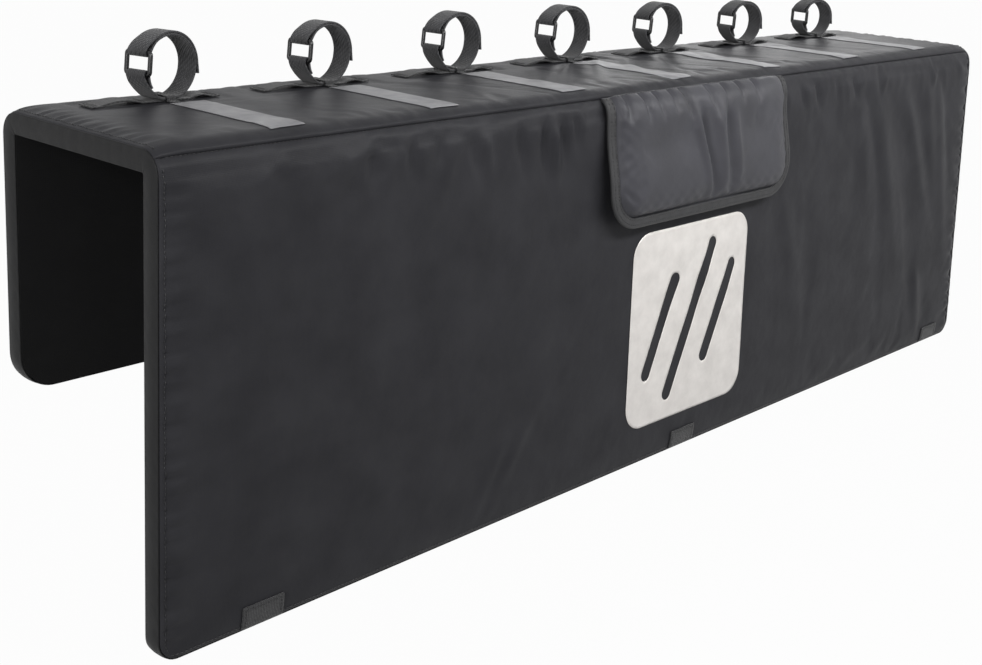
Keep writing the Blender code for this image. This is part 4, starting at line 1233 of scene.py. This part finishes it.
# %% Ribbons
def face_outward(mesh):
    """Makes a closed mesh's normals agree, and turns them if its signed volume is negative."""
    work = bmesh.new()
    work.from_mesh(mesh)
    bmesh.ops.recalc_face_normals(work, faces=work.faces)
    if work.calc_volume(signed=True) < 0:
        bmesh.ops.reverse_faces(work, faces=work.faces)
    work.to_mesh(mesh)
    work.free()


def ribbon_section(width, thickness):
    """Flat closed profile with round edges: a rounded box of across and height values."""
    turn = np.linspace(0.0, np.pi / 2, 4)
    radius = thickness / 2
    corner = np.stack([np.cos(turn) * radius * 0.9, np.sin(turn) * radius], axis=-1)
    right = np.concatenate([(corner * (1, -1))[::-1], corner[1:]])
    right[:, 0] += width / 2 - radius * 0.9
    across = np.linspace(width / 2 - radius, radius - width / 2, 7)[1:-1]
    top = np.stack([across, np.full(5, radius)], axis=-1)
    left = -right
    return np.concatenate([right, top, left, -top])


def ribbon(line, width, thickness, name, material, matrix):
    """A flat band carried along a line in the x, z plane, its width along y."""
    section = ribbon_section(width, thickness)
    run = np.gradient(line, axis=0)
    run = run / np.linalg.norm(run, axis=1, keepdims=True)
    out = np.stack([run[:, 1], -run[:, 0]], axis=-1)
    x = line[:, 0, None] + out[:, 0, None] * section[None, :, 1]
    z = line[:, 1, None] + out[:, 1, None] * section[None, :, 1]
    y = np.broadcast_to(section[None, :, 0], x.shape)
    points = np.stack([x, y, z], axis=-1)
    length = np.concatenate([[0.0], np.cumsum(np.linalg.norm(np.diff(line, axis=0), axis=1))])
    uv = np.stack(np.broadcast_arrays(section[None, :, 0], length[:, None]), axis=-1)
    count = section.shape[0]
    faces = grid_faces(len(line), count, close_columns=True).tolist()
    faces.append(list(range(count))[::-1])
    faces.append([len(line) * count - count + k for k in range(count)])
    mesh = bpy.data.meshes.new(name)
    mesh.from_pydata(points.reshape(-1, 3).tolist(), [], faces)
    layer = mesh.uv_layers.new(name="pattern")
    corner = np.empty(len(mesh.loops), dtype=np.int64)
    mesh.loops.foreach_get("vertex_index", corner)
    layer.data.foreach_set("uv", uv.reshape(-1, 2)[corner].ravel())
    face_outward(mesh)
    mesh.transform(matrix)
    mesh.shade_smooth()
    mesh.set_sharp_from_angle(angle=math.radians(50))
    mesh.materials.append(material)
    return add_object(name, mesh)


def softened(line, step):
    """A line's points step apart, its corners eased by averaging each with its neighbours."""
    line = resample(line, step)
    for _ in range(2):
        line[1:-1] = line[1:-1] * 0.5 + (line[:-2] + line[2:]) * 0.25
    return line


# %% [markdown]
# The buckle is a rectangular loop of acetal. Its round bar is carried along a rectangle with
# round corners, as a closed tube.


# %% Buckle
def buckle(name, closed, matrix):
    """A round bar carried round a rectangle, in the plane of the ring's two bars."""
    upper = ring_point(closed, np.array(UPPER_BAR), LAYER / 2)
    lower = ring_point(closed, np.array(lower_bar(closed)), -LAYER / 2)
    middle = (upper + lower) / 2
    up = (upper - lower) / np.linalg.norm(upper - lower)
    wide = STRAP_WIDTH + 2 * BUCKLE_SIDE_GAP + BUCKLE_ROD
    turn = np.linspace(0.0, np.pi / 2, 7)
    radius = BUCKLE_CORNER
    quarter = np.stack([np.cos(turn), np.sin(turn)], axis=-1) * radius
    quarter = quarter + (wide / 2 - radius, BUCKLE_HEIGHT / 2 - radius)
    mirror = quarter[::-1] * (-1, 1)
    loop = resample(np.concatenate([quarter, mirror, -quarter, -mirror]), 0.0009, closed=True)
    out = -inward_normals(loop)
    around = np.linspace(0.0, 2 * np.pi, 18, endpoint=False)
    flat = np.sign(np.cos(around)) * np.abs(np.cos(around)) ** 0.75 * BUCKLE_ROD / 2
    deep = np.sign(np.sin(around)) * np.abs(np.sin(around)) ** 0.75 * BUCKLE_ROD / 2
    a = loop[:, 0, None] + out[:, 0, None] * flat
    b = loop[:, 1, None] + out[:, 1, None] * flat
    across = np.array([up[1], -up[0]])
    x = middle[0] + b * up[0] + deep[None, :] * across[0]
    z = middle[1] + b * up[1] + deep[None, :] * across[1]
    points = np.stack([x, a, z], axis=-1)
    steps = np.arange(len(loop)) * 1.0
    uv = np.stack(np.broadcast_arrays(around[None, :], steps[:, None]), axis=-1)
    faces = grid_faces(*x.shape, close_rows=True, close_columns=True)
    made = put_mesh(name, points, faces, uv, acetal)
    face_outward(made.data)
    made.data.transform(matrix)
    return made


# %% [markdown]
# ## Webbing under the straps
# A length of webbing is sewn to the top and raised in an empty loop to the left of each
# strap. A narrower band crosses over the strap and holds it down.

# %% Anchor and keeper lines
WEBBING = 0.0016
ANCHOR_WIDTH = 0.025
ANCHOR_LEFT = 0.095
ANCHOR_RIGHT = 0.058
LOOP_LENGTH = 0.048
LOOP_HEIGHT = 0.0036
TAB_LENGTH = 0.026
TAB_HEIGHT = 0.0026
BARTACK = 0.010
KEEPER_WIDTH = 0.011
KEEPER_FOOT = 0.010
KEEPER_THICKNESS = 0.0014
TOP_LEVEL = THICKNESS + PUFF
FAN_END = STRAP_FAN * 3


def arched(x, start, length, height):
    """Height of a raised stretch: a half sine to the power 0.8."""
    share = np.clip((x - start) / length, 0.0, 1.0)
    return height * np.sin(np.pi * share) ** 0.8


def anchor_line():
    """Side view of the webbing under one strap, from its empty loop to its far tab."""
    x = np.linspace(-ANCHOR_LEFT, ANCHOR_RIGHT, 90)
    first = -ANCHOR_LEFT + BARTACK
    last = ANCHOR_RIGHT - BARTACK - TAB_LENGTH
    z = arched(x, first, LOOP_LENGTH, LOOP_HEIGHT) + arched(x, last, TAB_LENGTH, TAB_HEIGHT)
    return np.stack([x, z], axis=-1)


KEEPER_WALL = (
    (STRAP_WIDTH / 2 + KEEPER_WIDTH / 2 * math.sin(FAN_END)) / math.cos(FAN_END)
    + 2 * CLEARANCE
    + KEEPER_THICKNESS / 2
)


def keeper_line(strap_level):
    """End view of the cross loop: a foot, up, over the strap, down and a foot."""
    top_z = strap_level + STRAP_THICKNESS / 2 + CLEARANCE + KEEPER_THICKNESS / 2
    foot = CLEARANCE + KEEPER_THICKNESS / 2
    right = np.array([
        (0.0, top_z),
        (KEEPER_WALL - 0.0006, top_z),
        (KEEPER_WALL, top_z - 0.0006),
        (KEEPER_WALL, foot + 0.0006),
        (KEEPER_WALL + 0.0006, foot),
        (KEEPER_WALL + KEEPER_FOOT, foot),
    ])
    left = right[:0:-1] * (-1, 1)
    return resample(np.concatenate([left, right]), 0.0008)


# %% [markdown]
# The seven stations are one set of pieces, placed seven times. In the photograph each ring is
# turned a little further than its neighbour, and the rings are closed to different widths, so
# the turn and the closing are the two values that change along the row.

# %% Make the seven stations
quarter_turn = Matrix.Rotation(math.pi / 2, 4, "Z")
strap_level = CLEARANCE + WEBBING + CLEARANCE + STRAP_THICKNESS / 2
for k in range(STRAPS):
    closed = RING_CLOSED[k]
    number = "_" + str(k + 1)
    ring_level = TOP_LEVEL + strap_level + closed * RING_HALF_HEIGHT - RING_FLAT
    turn = Matrix.Rotation((3 - k) * STRAP_FAN, 4, "Z")
    seat = Matrix.Translation((strap_x[k] + RING_OFFSET, STRAP_Y, ring_level)) @ turn
    line = softened(strap_line(closed), 0.0016)
    strap = ribbon(line, STRAP_WIDTH, STRAP_THICKNESS, "ring_strap" + number, strap_webbing, seat)
    dress(strap, ["bike_strap" + number])
    loop = buckle("ring_buckle" + number, closed, seat)
    dress(loop, ["strap_buckle" + number])
    seat = Matrix.Translation((strap_x[k], STRAP_Y, TOP_LEVEL + CLEARANCE + WEBBING / 2))
    line = anchor_line()
    name = "shade_darkened_webbing" + number
    anchor = ribbon(line, ANCHOR_WIDTH, WEBBING, name, shade_darkened_webbing, seat)
    dress(anchor, ["strap_anchor" + number])
    seat = Matrix.Translation((strap_x[k] + RING_OFFSET, STRAP_Y, TOP_LEVEL)) @ quarter_turn
    line = keeper_line(strap_level)
    name = "cross_loop" + number
    keeper = ribbon(line, KEEPER_WIDTH, KEEPER_THICKNESS, name, shade_darkened_webbing, seat)
    dress(keeper, ["strap_keeper" + number])

# %% [markdown]
# ## Reflective stripes, reflective panel and hem tabs
# They are thin and flexible, so they follow the cover's folds: each is a grid in the flat
# pattern, lifted to the panel's own height at the same x and s.

# %% Stripes
FILM = 0.0004
STRIPE_WIDTH = 0.042
STRIPE_LIFT = 0.00045
STRIPE_OFFSET = 0.006
STRIPE_FRONT = 0.014
STRIPE_REAR_GAP = 0.002


def laid_strip(name, panel, x, s, lift, thick, material):
    """A thin closed strip that follows a panel's height at each of its points."""
    base = panel.height(x, s)
    outer = fold(x, s, base + lift + thick)
    inner = fold(x, s, base + lift)
    return shell(name, outer, inner, np.stack([x, s], axis=-1), material)


stripe_front = FRONT_SEAM + STRIPE_FRONT
stripe_rear = strap_s - KEEPER_WALL - KEEPER_FOOT - STRIPE_REAR_GAP
for k in range(STRAPS):
    middle = strap_x[k] + STRIPE_OFFSET
    x, s = np.meshgrid(
        np.linspace(middle - STRIPE_WIDTH / 2, middle + STRIPE_WIDTH / 2, 22),
        np.linspace(stripe_front, stripe_rear, 74),
    )
    name = "stripe_film_" + str(k + 1)
    strip = laid_strip(name, top, x, s, STRIPE_LIFT, FILM, stripe_film)
    dress(strip, ["reflective_strip_" + str(k + 1)])

# %% [markdown]
# The panel on the front is a rounded field with slanted slots, a plain design that stands
# where a print would be. Its flat shape is cut by its distance to the outline and the slots:
# each grid point beside the line is moved onto it, so the edges come out smooth.

# %% Reflective panel
PANEL_WIDTH = 0.25
PANEL_HEIGHT = 0.256
PANEL_RADIUS = 0.032
PANEL_LOW = 0.050
SLOT_WIDTH = 0.018
SLOT_SLANT = math.radians(24)


def field_distance(x, y):
    """Distance inside the rounded field and outside the slots: positive on the film."""
    aside = np.abs(x) - PANEL_WIDTH / 2 + PANEL_RADIUS
    above = np.abs(y) - PANEL_HEIGHT / 2 + PANEL_RADIUS
    outside = np.hypot(np.maximum(aside, 0), np.maximum(above, 0))
    outside = outside + np.minimum(np.maximum(aside, above), 0)
    distance = PANEL_RADIUS - outside
    length = (PANEL_HEIGHT - 0.052) / math.cos(SLOT_SLANT)
    for k in (-1, 0, 1):
        half = length / 2 * (1 - abs(k) * 0.35) - SLOT_WIDTH / 2
        shift = x - k * PANEL_WIDTH / 4
        along = shift * math.sin(SLOT_SLANT) + y * math.cos(SLOT_SLANT)
        off = shift * math.cos(SLOT_SLANT) - y * math.sin(SLOT_SLANT)
        slot = np.hypot(off, along - np.clip(along, -half, half)) - SLOT_WIDTH / 2
        distance = np.minimum(distance, slot)
    return distance


def reflective_panel():
    """Film over the grid cells that the field covers, its border points moved to the line."""
    step = 0.0026
    x, y = np.meshgrid(
        np.arange(-PANEL_WIDTH / 2 - step, PANEL_WIDTH / 2 + 2 * step, step),
        np.arange(-PANEL_HEIGHT / 2 - step, PANEL_HEIGHT / 2 + 2 * step, step),
    )
    faces = grid_faces(*x.shape)
    centre = field_distance(x.ravel()[faces].mean(axis=1), y.ravel()[faces].mean(axis=1))
    faces = faces[centre > 0.0]
    used, faces = np.unique(faces, return_inverse=True)
    faces = faces.reshape(-1, 4)
    x = x.ravel()[used]
    y = y.ravel()[used]
    pairs = np.sort(np.concatenate([faces[:, [a, (a + 1) % 4]] for a in range(4)]), axis=1)
    edges, uses = np.unique(pairs, axis=0, return_counts=True)
    rim = np.unique(edges[uses == 1])
    for _ in range(6):
        here = field_distance(x[rim], y[rim])
        slope_x = (field_distance(x[rim] + 1e-5, y[rim]) - here) / 1e-5
        slope_y = (field_distance(x[rim], y[rim] + 1e-5) - here) / 1e-5
        size = np.maximum(slope_x**2 + slope_y**2, 0.2)
        x[rim] -= here * slope_x / size
        y[rim] -= here * slope_y / size
    s = PANEL_LOW + PANEL_HEIGHT / 2 + y
    x = HANDLE_X + x
    lift = front.height(x, s) + 0.0004
    outer = fold(x, s, lift + FILM)
    inner = fold(x, s, lift)
    count = len(x)
    directed = np.concatenate([faces[:, [a, (a + 1) % 4]] for a in range(4)])
    order = np.sort(directed, axis=1)
    _, index, times = np.unique(order, axis=0, return_inverse=True, return_counts=True)
    open_edges = directed[times[index.ravel()] == 1]
    begin, finish = open_edges[:, 0], open_edges[:, 1]
    wall = np.stack([finish, begin, begin + count, finish + count], axis=-1)
    both = np.concatenate([faces, faces[:, ::-1] + count, wall])
    uv = np.stack([np.tile(x, 2), np.tile(s, 2)], axis=-1)
    return put_mesh("front_reflector", np.concatenate([outer, inner]), both, uv, panel_film)


dress(reflective_panel(), ["reflective_panel"])

# %% [markdown]
# Three patches of webbing are sewn to the front hem, where the real pad takes its hold-down
# straps. Their rows stand closer near the hem, because the stuffing rises steeply there.

# %% Hem tabs
HEM_TABS = 3
TAB_LIFT = 0.0003
tab_middles = [HANDLE_X + (k - 1) * HEM_TAB_SPACING for k in range(HEM_TABS)]
tab_rows = INSET + np.array([
    0.0006, 0.0012, 0.002, 0.003, 0.0045, 0.0065, 0.009, 0.012, 0.015, 0.018, 0.021, 0.0235,
    HEM_TAB_HEIGHT,
])
for k, middle in enumerate(tab_middles):
    x, s = np.meshgrid(
        np.linspace(middle - HEM_TAB_WIDTH / 2, middle + HEM_TAB_WIDTH / 2, 26),
        tab_rows,
    )
    tab = laid_strip("hem_webbing_" + str(k + 1), front, x, s, TAB_LIFT, WEBBING, shade_darkened_webbing)
    dress(tab, ["hem_tab_" + str(k + 1)])

# %% [markdown]
# ## Stitches
# Seams read as seams because of their thread. A stitch is a small arched bar, a few
# dozen faces at most, repeated along a line of the flat pattern at the cloth's own height.


# %% Stitches
def stitch_line(path, level_of, pitch, length, radius):
    """Points and faces of the stitches along one open path of x and s."""
    spots = resample(path, pitch)
    if len(spots) > 2:
        spots = (spots[:-1] + spots[1:]) / 2
    place = fold(spots[:, 0], spots[:, 1], level_of(spots[:, 0], spots[:, 1]))
    run = np.gradient(place, axis=0)
    run = run / np.linalg.norm(run, axis=1, keepdims=True)
    up = outward(spots[:, 0], spots[:, 1])
    side = np.cross(up, run)
    side = side / np.linalg.norm(side, axis=1, keepdims=True)
    share = np.array([-0.5, -0.36, 0.0, 0.36, 0.5])
    arch = np.array([-0.35, 0.55, 0.8, 0.55, -0.35]) * radius
    around = np.linspace(0.0, 2 * np.pi, 5, endpoint=False)
    thick = radius * np.array([0.45, 0.95, 1.0, 0.95, 0.45])
    a = share[:, None] * length + 0 * around
    b = thick[:, None] * np.cos(around)
    c = arch[:, None] + thick[:, None] * np.sin(around)
    local = np.stack([a, b, c], axis=-1).reshape(-1, 3)
    points = place[:, None, :] + (
        local[None, :, 0, None] * run[:, None, :]
        + local[None, :, 1, None] * side[:, None, :]
        + local[None, :, 2, None] * up[:, None, :]
    )
    return points.reshape(-1, 3), len(spots)


def stitches(name, paths, level_of, pitch=0.0048, length=0.0036, radius=0.00042):
    """One object with the stitches of several lines."""
    points = []
    count = 0
    for path in paths:
        made, number = stitch_line(np.asarray(path, float), level_of, pitch, length, radius)
        points.append(made)
        count += number
    bar = grid_faces(5, 5, close_columns=True)
    ends = [[0, 1, 2, 3, 4], [24, 23, 22, 21, 20]]
    offset = np.arange(count) * 25
    sides = (bar[None, :, ::-1] + offset[:, None, None]).reshape(-1, 4).tolist()
    caps = (np.array(ends)[None, :, :] + offset[:, None, None]).reshape(-1, 5).tolist()
    mesh = bpy.data.meshes.new(name)
    mesh.from_pydata(np.concatenate(points).tolist(), [], sides + caps)
    mesh.shade_smooth()
    mesh.materials.append(thread_fibre)
    thread = add_object(name, mesh)
    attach(thread, "root")
    print(name, "has", count, "stitches")


def edge_path(panel, inset, step=0.01):
    """The two end lines of a panel, inset from the pad's edge."""
    s = np.arange(panel.start + 0.008, panel.end - 0.008, step)
    x = half_length(s, INSET) - inset
    return [np.stack([x, s], axis=-1), np.stack([-x, s], axis=-1)]


def cross_path(low, high, s):
    """A line along the pad at one s, with a point each centimetre."""
    x = np.arange(low, high, 0.01)
    return np.stack([x, np.full(x.shape, s)], axis=-1)


end_x = LENGTH / 2 - 0.012
front_lines = edge_path(front, 0.0045) + [
    cross_path(-end_x, end_x, FRONT_SEAM - CLEARANCE),
    cross_path(-end_x, end_x, 0.0062),
]
stitches("front_thread", front_lines, front.height)
stitches("top_thread", edge_path(top, 0.0045), top.height)
rear_lines = edge_path(rear, 0.0045) + [
    cross_path(REAR_CORNER - LENGTH / 2, LENGTH / 2 - REAR_CORNER, GIRTH - 0.0062),
]
stitches("rear_thread", rear_lines, rear.height)


def binding_face(x, s):
    """Level of the binding tape's outer face."""
    return flap_back(s) + FLAP_FABRIC + CLEARANCE / 2 + half_stack + BINDING_TAPE


flap_lines = [binding_path + binding_inward * lip for lip in (0.0035, 0.0098)]
stitches(
    "flap_binding_thread", flap_lines, binding_face,
    pitch=0.0042, length=0.0032, radius=0.0004,
)


def flap_seam_level(x, s):
    """Level of the flap's face beside the seam, from its own grid."""
    row = np.argmin(np.abs(flap_rows - s[0]))
    return np.interp(x, flap_x[row], flap_level[row])


stitches(
    "flap_seam_thread",
    [cross_path(flap_left + 0.012, flap_right - 0.012, flap_rows[-4])],
    flap_seam_level,
)

# %% [markdown]
# Tabs are sewn down on three sides, and the webbing with bars of short dense stitches.

# %% Stitches on tabs and webbing
TAB_SEAM = 0.0215
TAB_SEAM_TOP = 0.0232


def tab_face(x, s):
    """Level of a hem tab's outer face: the front's height, the lift and the webbing."""
    return front.height(x, s) + TAB_LIFT + WEBBING


def webbing_face(x, s):
    """Level of the outer face of webbing that is sewn flat to the top."""
    return np.full(np.shape(x), PUFF + CLEARANCE + WEBBING)


tab_lines = []
for middle in tab_middles:
    for x in (middle - TAB_SEAM, middle + TAB_SEAM):
        tab_lines.append([[x, 0.005], [x, 0.015], [x, 0.0245]])
    across = (middle - TAB_SEAM, middle, middle + TAB_SEAM)
    tab_lines.append([[x, TAB_SEAM_TOP] for x in across])
stitches(
    "tab_thread", tab_lines, tab_face, pitch=0.0032, length=0.0026, radius=0.0004
)
bar_lines = []
bar_places = (
    -ANCHOR_LEFT + 0.003,
    -ANCHOR_LEFT + 0.007,
    -ANCHOR_LEFT + BARTACK + LOOP_LENGTH + 0.003,
    ANCHOR_RIGHT - 0.007,
    ANCHOR_RIGHT - 0.003,
)
for k in range(STRAPS):
    for x in bar_places:
        s = np.linspace(strap_s - 0.0105, strap_s + 0.0105, 8)
        bar_lines.append(np.stack([np.full(8, strap_x[k] + x), s], axis=-1))
stitches(
    "anchor_thread", bar_lines, webbing_face,
    pitch=0.0021, length=0.0018, radius=0.0004,
)

# %% [markdown]
# ## Nodes that keep their CAD shape
# The window's binding is flat-sided, and the flap hides it. Its solid is right as it is, so
# it only gets its finish, on Object coordinates.


# %% Finishes on kept nodes
def plain_woven(name, low, high, roughness, size, strength):
    """Cloth on Object coordinates, for a node that has no pattern UV."""
    made, shader = new_material(name, low, roughness)
    tree = made.node_tree
    place = add_node(tree, "ShaderNodeTexCoord", {}).outputs["Object"]
    tint = between(tree, noise(tree, place, 0.01, 4.0), low, high)
    tree.links.new(tint, shader.inputs["Base Color"])
    pile = raised(tree, noise(tree, place, size, 3.0), strength, size / 2)
    tree.links.new(pile, shader.inputs["Normal"])
    return made


window_tape = plain_woven("woven_window_tape", "#19191b", "#242426", 0.7, 0.0012, 0.5)
window_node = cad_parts["window_binding"]
window_node.data.materials.clear()
window_node.data.materials.append(window_tape)

print("window binding wears", window_tape.name)

# %% [markdown]
# ## Floor, light and camera
# The pad hangs as over a closed tailgate, so the floor lies 1.25 m below its top. Floor and
# sky are white for camera, glossy and transmission rays, which the Light Path node tells
# apart. For all other rays the floor is pale paint and the sky is dim, so the object is lit
# by plain lamps, and the floor keeps a trace of its shadow. A bright sky would be simpler,
# but then the background's white would also wash out the black cloth.


# %% Floor and sky
def seen_rays(tree):
    """1 for camera, glossy and transmission rays: the largest of the three, else 0."""
    path = add_node(tree, "ShaderNodeLightPath", {})
    seen = maths(tree, "MAXIMUM", path.outputs["Is Camera Ray"], path.outputs["Is Glossy Ray"])
    return maths(tree, "MAXIMUM", seen, path.outputs["Is Transmission Ray"])


def white_to_camera(tree, lit, share_of):
    """Mixes a lit shader with plain white for camera, glossy and transmission rays."""
    share = maths(tree, "MULTIPLY", seen_rays(tree), share_of)
    white = add_node(tree, "ShaderNodeEmission", {"Color": (1.0, 1.0, 1.0, 1.0), "Strength": 1.0})
    return add_node(tree, "ShaderNodeMixShader", {0: share, 1: lit, 2: white.outputs[0]}).outputs[0]


FLOOR_LEVEL = -1.25
FLOOR_HALF = 30
FLOOR_WHITE = 0.97
floor_mesh = bpy.data.meshes.new("floor")
floor_corners = [
    (side * FLOOR_HALF, depth * FLOOR_HALF, FLOOR_LEVEL)
    for side, depth in ((-1, -1), (1, -1), (1, 1), (-1, 1))
]
floor_mesh.from_pydata(floor_corners, [], [(0, 1, 2, 3)])
floor = add_object("floor", floor_mesh)
floor_paint, floor_shader = new_material("pale_floor_paint", "#d8d8d8", 0.8)
floor_tree = floor_paint.node_tree
floor_out = floor_tree.nodes["Material Output"]
floor_look = white_to_camera(floor_tree, floor_shader.outputs[0], FLOOR_WHITE)
floor_tree.links.new(floor_look, floor_out.inputs["Surface"])
floor_mesh.materials.append(floor_paint)

world = bpy.data.worlds.new("studio")
bpy.context.scene.world = world
world.use_nodes = True
sky = world.node_tree.nodes["Background"]
sky.inputs["Color"].default_value = linear("#ffffff")
SKY_LIGHT = 0.18
seen_share = maths(world.node_tree, "MULTIPLY", seen_rays(world.node_tree), 1.0 - SKY_LIGHT)
sky_strength = maths(world.node_tree, "ADD", seen_share, SKY_LIGHT)
world.node_tree.links.new(sky_strength, sky.inputs["Strength"])


# %% [markdown]
# Three rectangular area lamps. A long narrow one in front and above gives the soft band along
# the top seam and shows the gathers, a square one lights the near end, and one behind lifts
# the straps and the far end of the top. Their size sets how soft the folds' shading is.


# %% Lamps
def softbox(name, place, target, size, power):
    """A rectangular area lamp, size wide and high, that faces a point."""
    lamp = bpy.data.lights.new(name, "AREA")
    lamp.shape = "RECTANGLE"
    lamp.size, lamp.size_y = size
    lamp.energy = power
    made = add_object(name, lamp)
    made.location = place
    made.rotation_euler = (Vector(target) - Vector(place)).to_track_quat("-Z", "Y").to_euler()


softbox("key", (0.35, -0.95, 0.62), (0.35, -0.12, 0.10), size=(1.9, 0.25), power=17.5)
softbox("fill", (-2.6, -0.9, 0.6), (-0.4, -0.1, 0.0), size=(0.8, 0.8), power=34)
softbox("back", (3.0, 1.8, 0.9), (0.4, 0.0, 0.08), size=(1.2, 1.0), power=8)

# %% [markdown]
# The camera stands where the photograph seems to be taken from. Its place, its three turns
# and its focal length come from a fit to the pad's corners, with the pad's length taken as
# 62 inches. The optical middle of that fit lies above half height, as in a cropped picture,
# so the lens is shifted.

# %% Camera
PHOTO_WIDTH = 982.0
PHOTO_HEIGHT = 665.0
FOCAL_PIXELS = 1456.2
OPTICAL_ROW = 200.0
FILM_BACK = 36.0
yaw = math.radians(47.396)
pitch = math.radians(12.831)
roll = math.radians(2.621)
level_reach = math.cos(pitch)
forward = Vector((math.sin(yaw) * level_reach, math.cos(yaw) * level_reach, -math.sin(pitch)))
level_right = Vector((math.cos(yaw), -math.sin(yaw), 0.0))
level_up = level_right.cross(forward)
right = level_right * math.cos(roll) + level_up * math.sin(roll)
up = level_up * math.cos(roll) - level_right * math.sin(roll)
lens = bpy.data.cameras.new("photo_view")
lens.sensor_width = FILM_BACK
lens.lens = FOCAL_PIXELS * FILM_BACK / PHOTO_WIDTH
lens.shift_y = (OPTICAL_ROW - PHOTO_HEIGHT / 2) / PHOTO_WIDTH
camera = add_object("photo_view", lens)
axes = Matrix((right, up, -forward)).transposed().to_4x4()
camera.matrix_world = Matrix.Translation((-1.4995, -1.1814, 0.2744)) @ axes
print("focal length", round(lens.lens, 1), "mm, shifted by", round(lens.shift_y, 3))
bpy.context.scene.camera = camera
bpy.context.scene.view_settings.view_transform = "Standard"
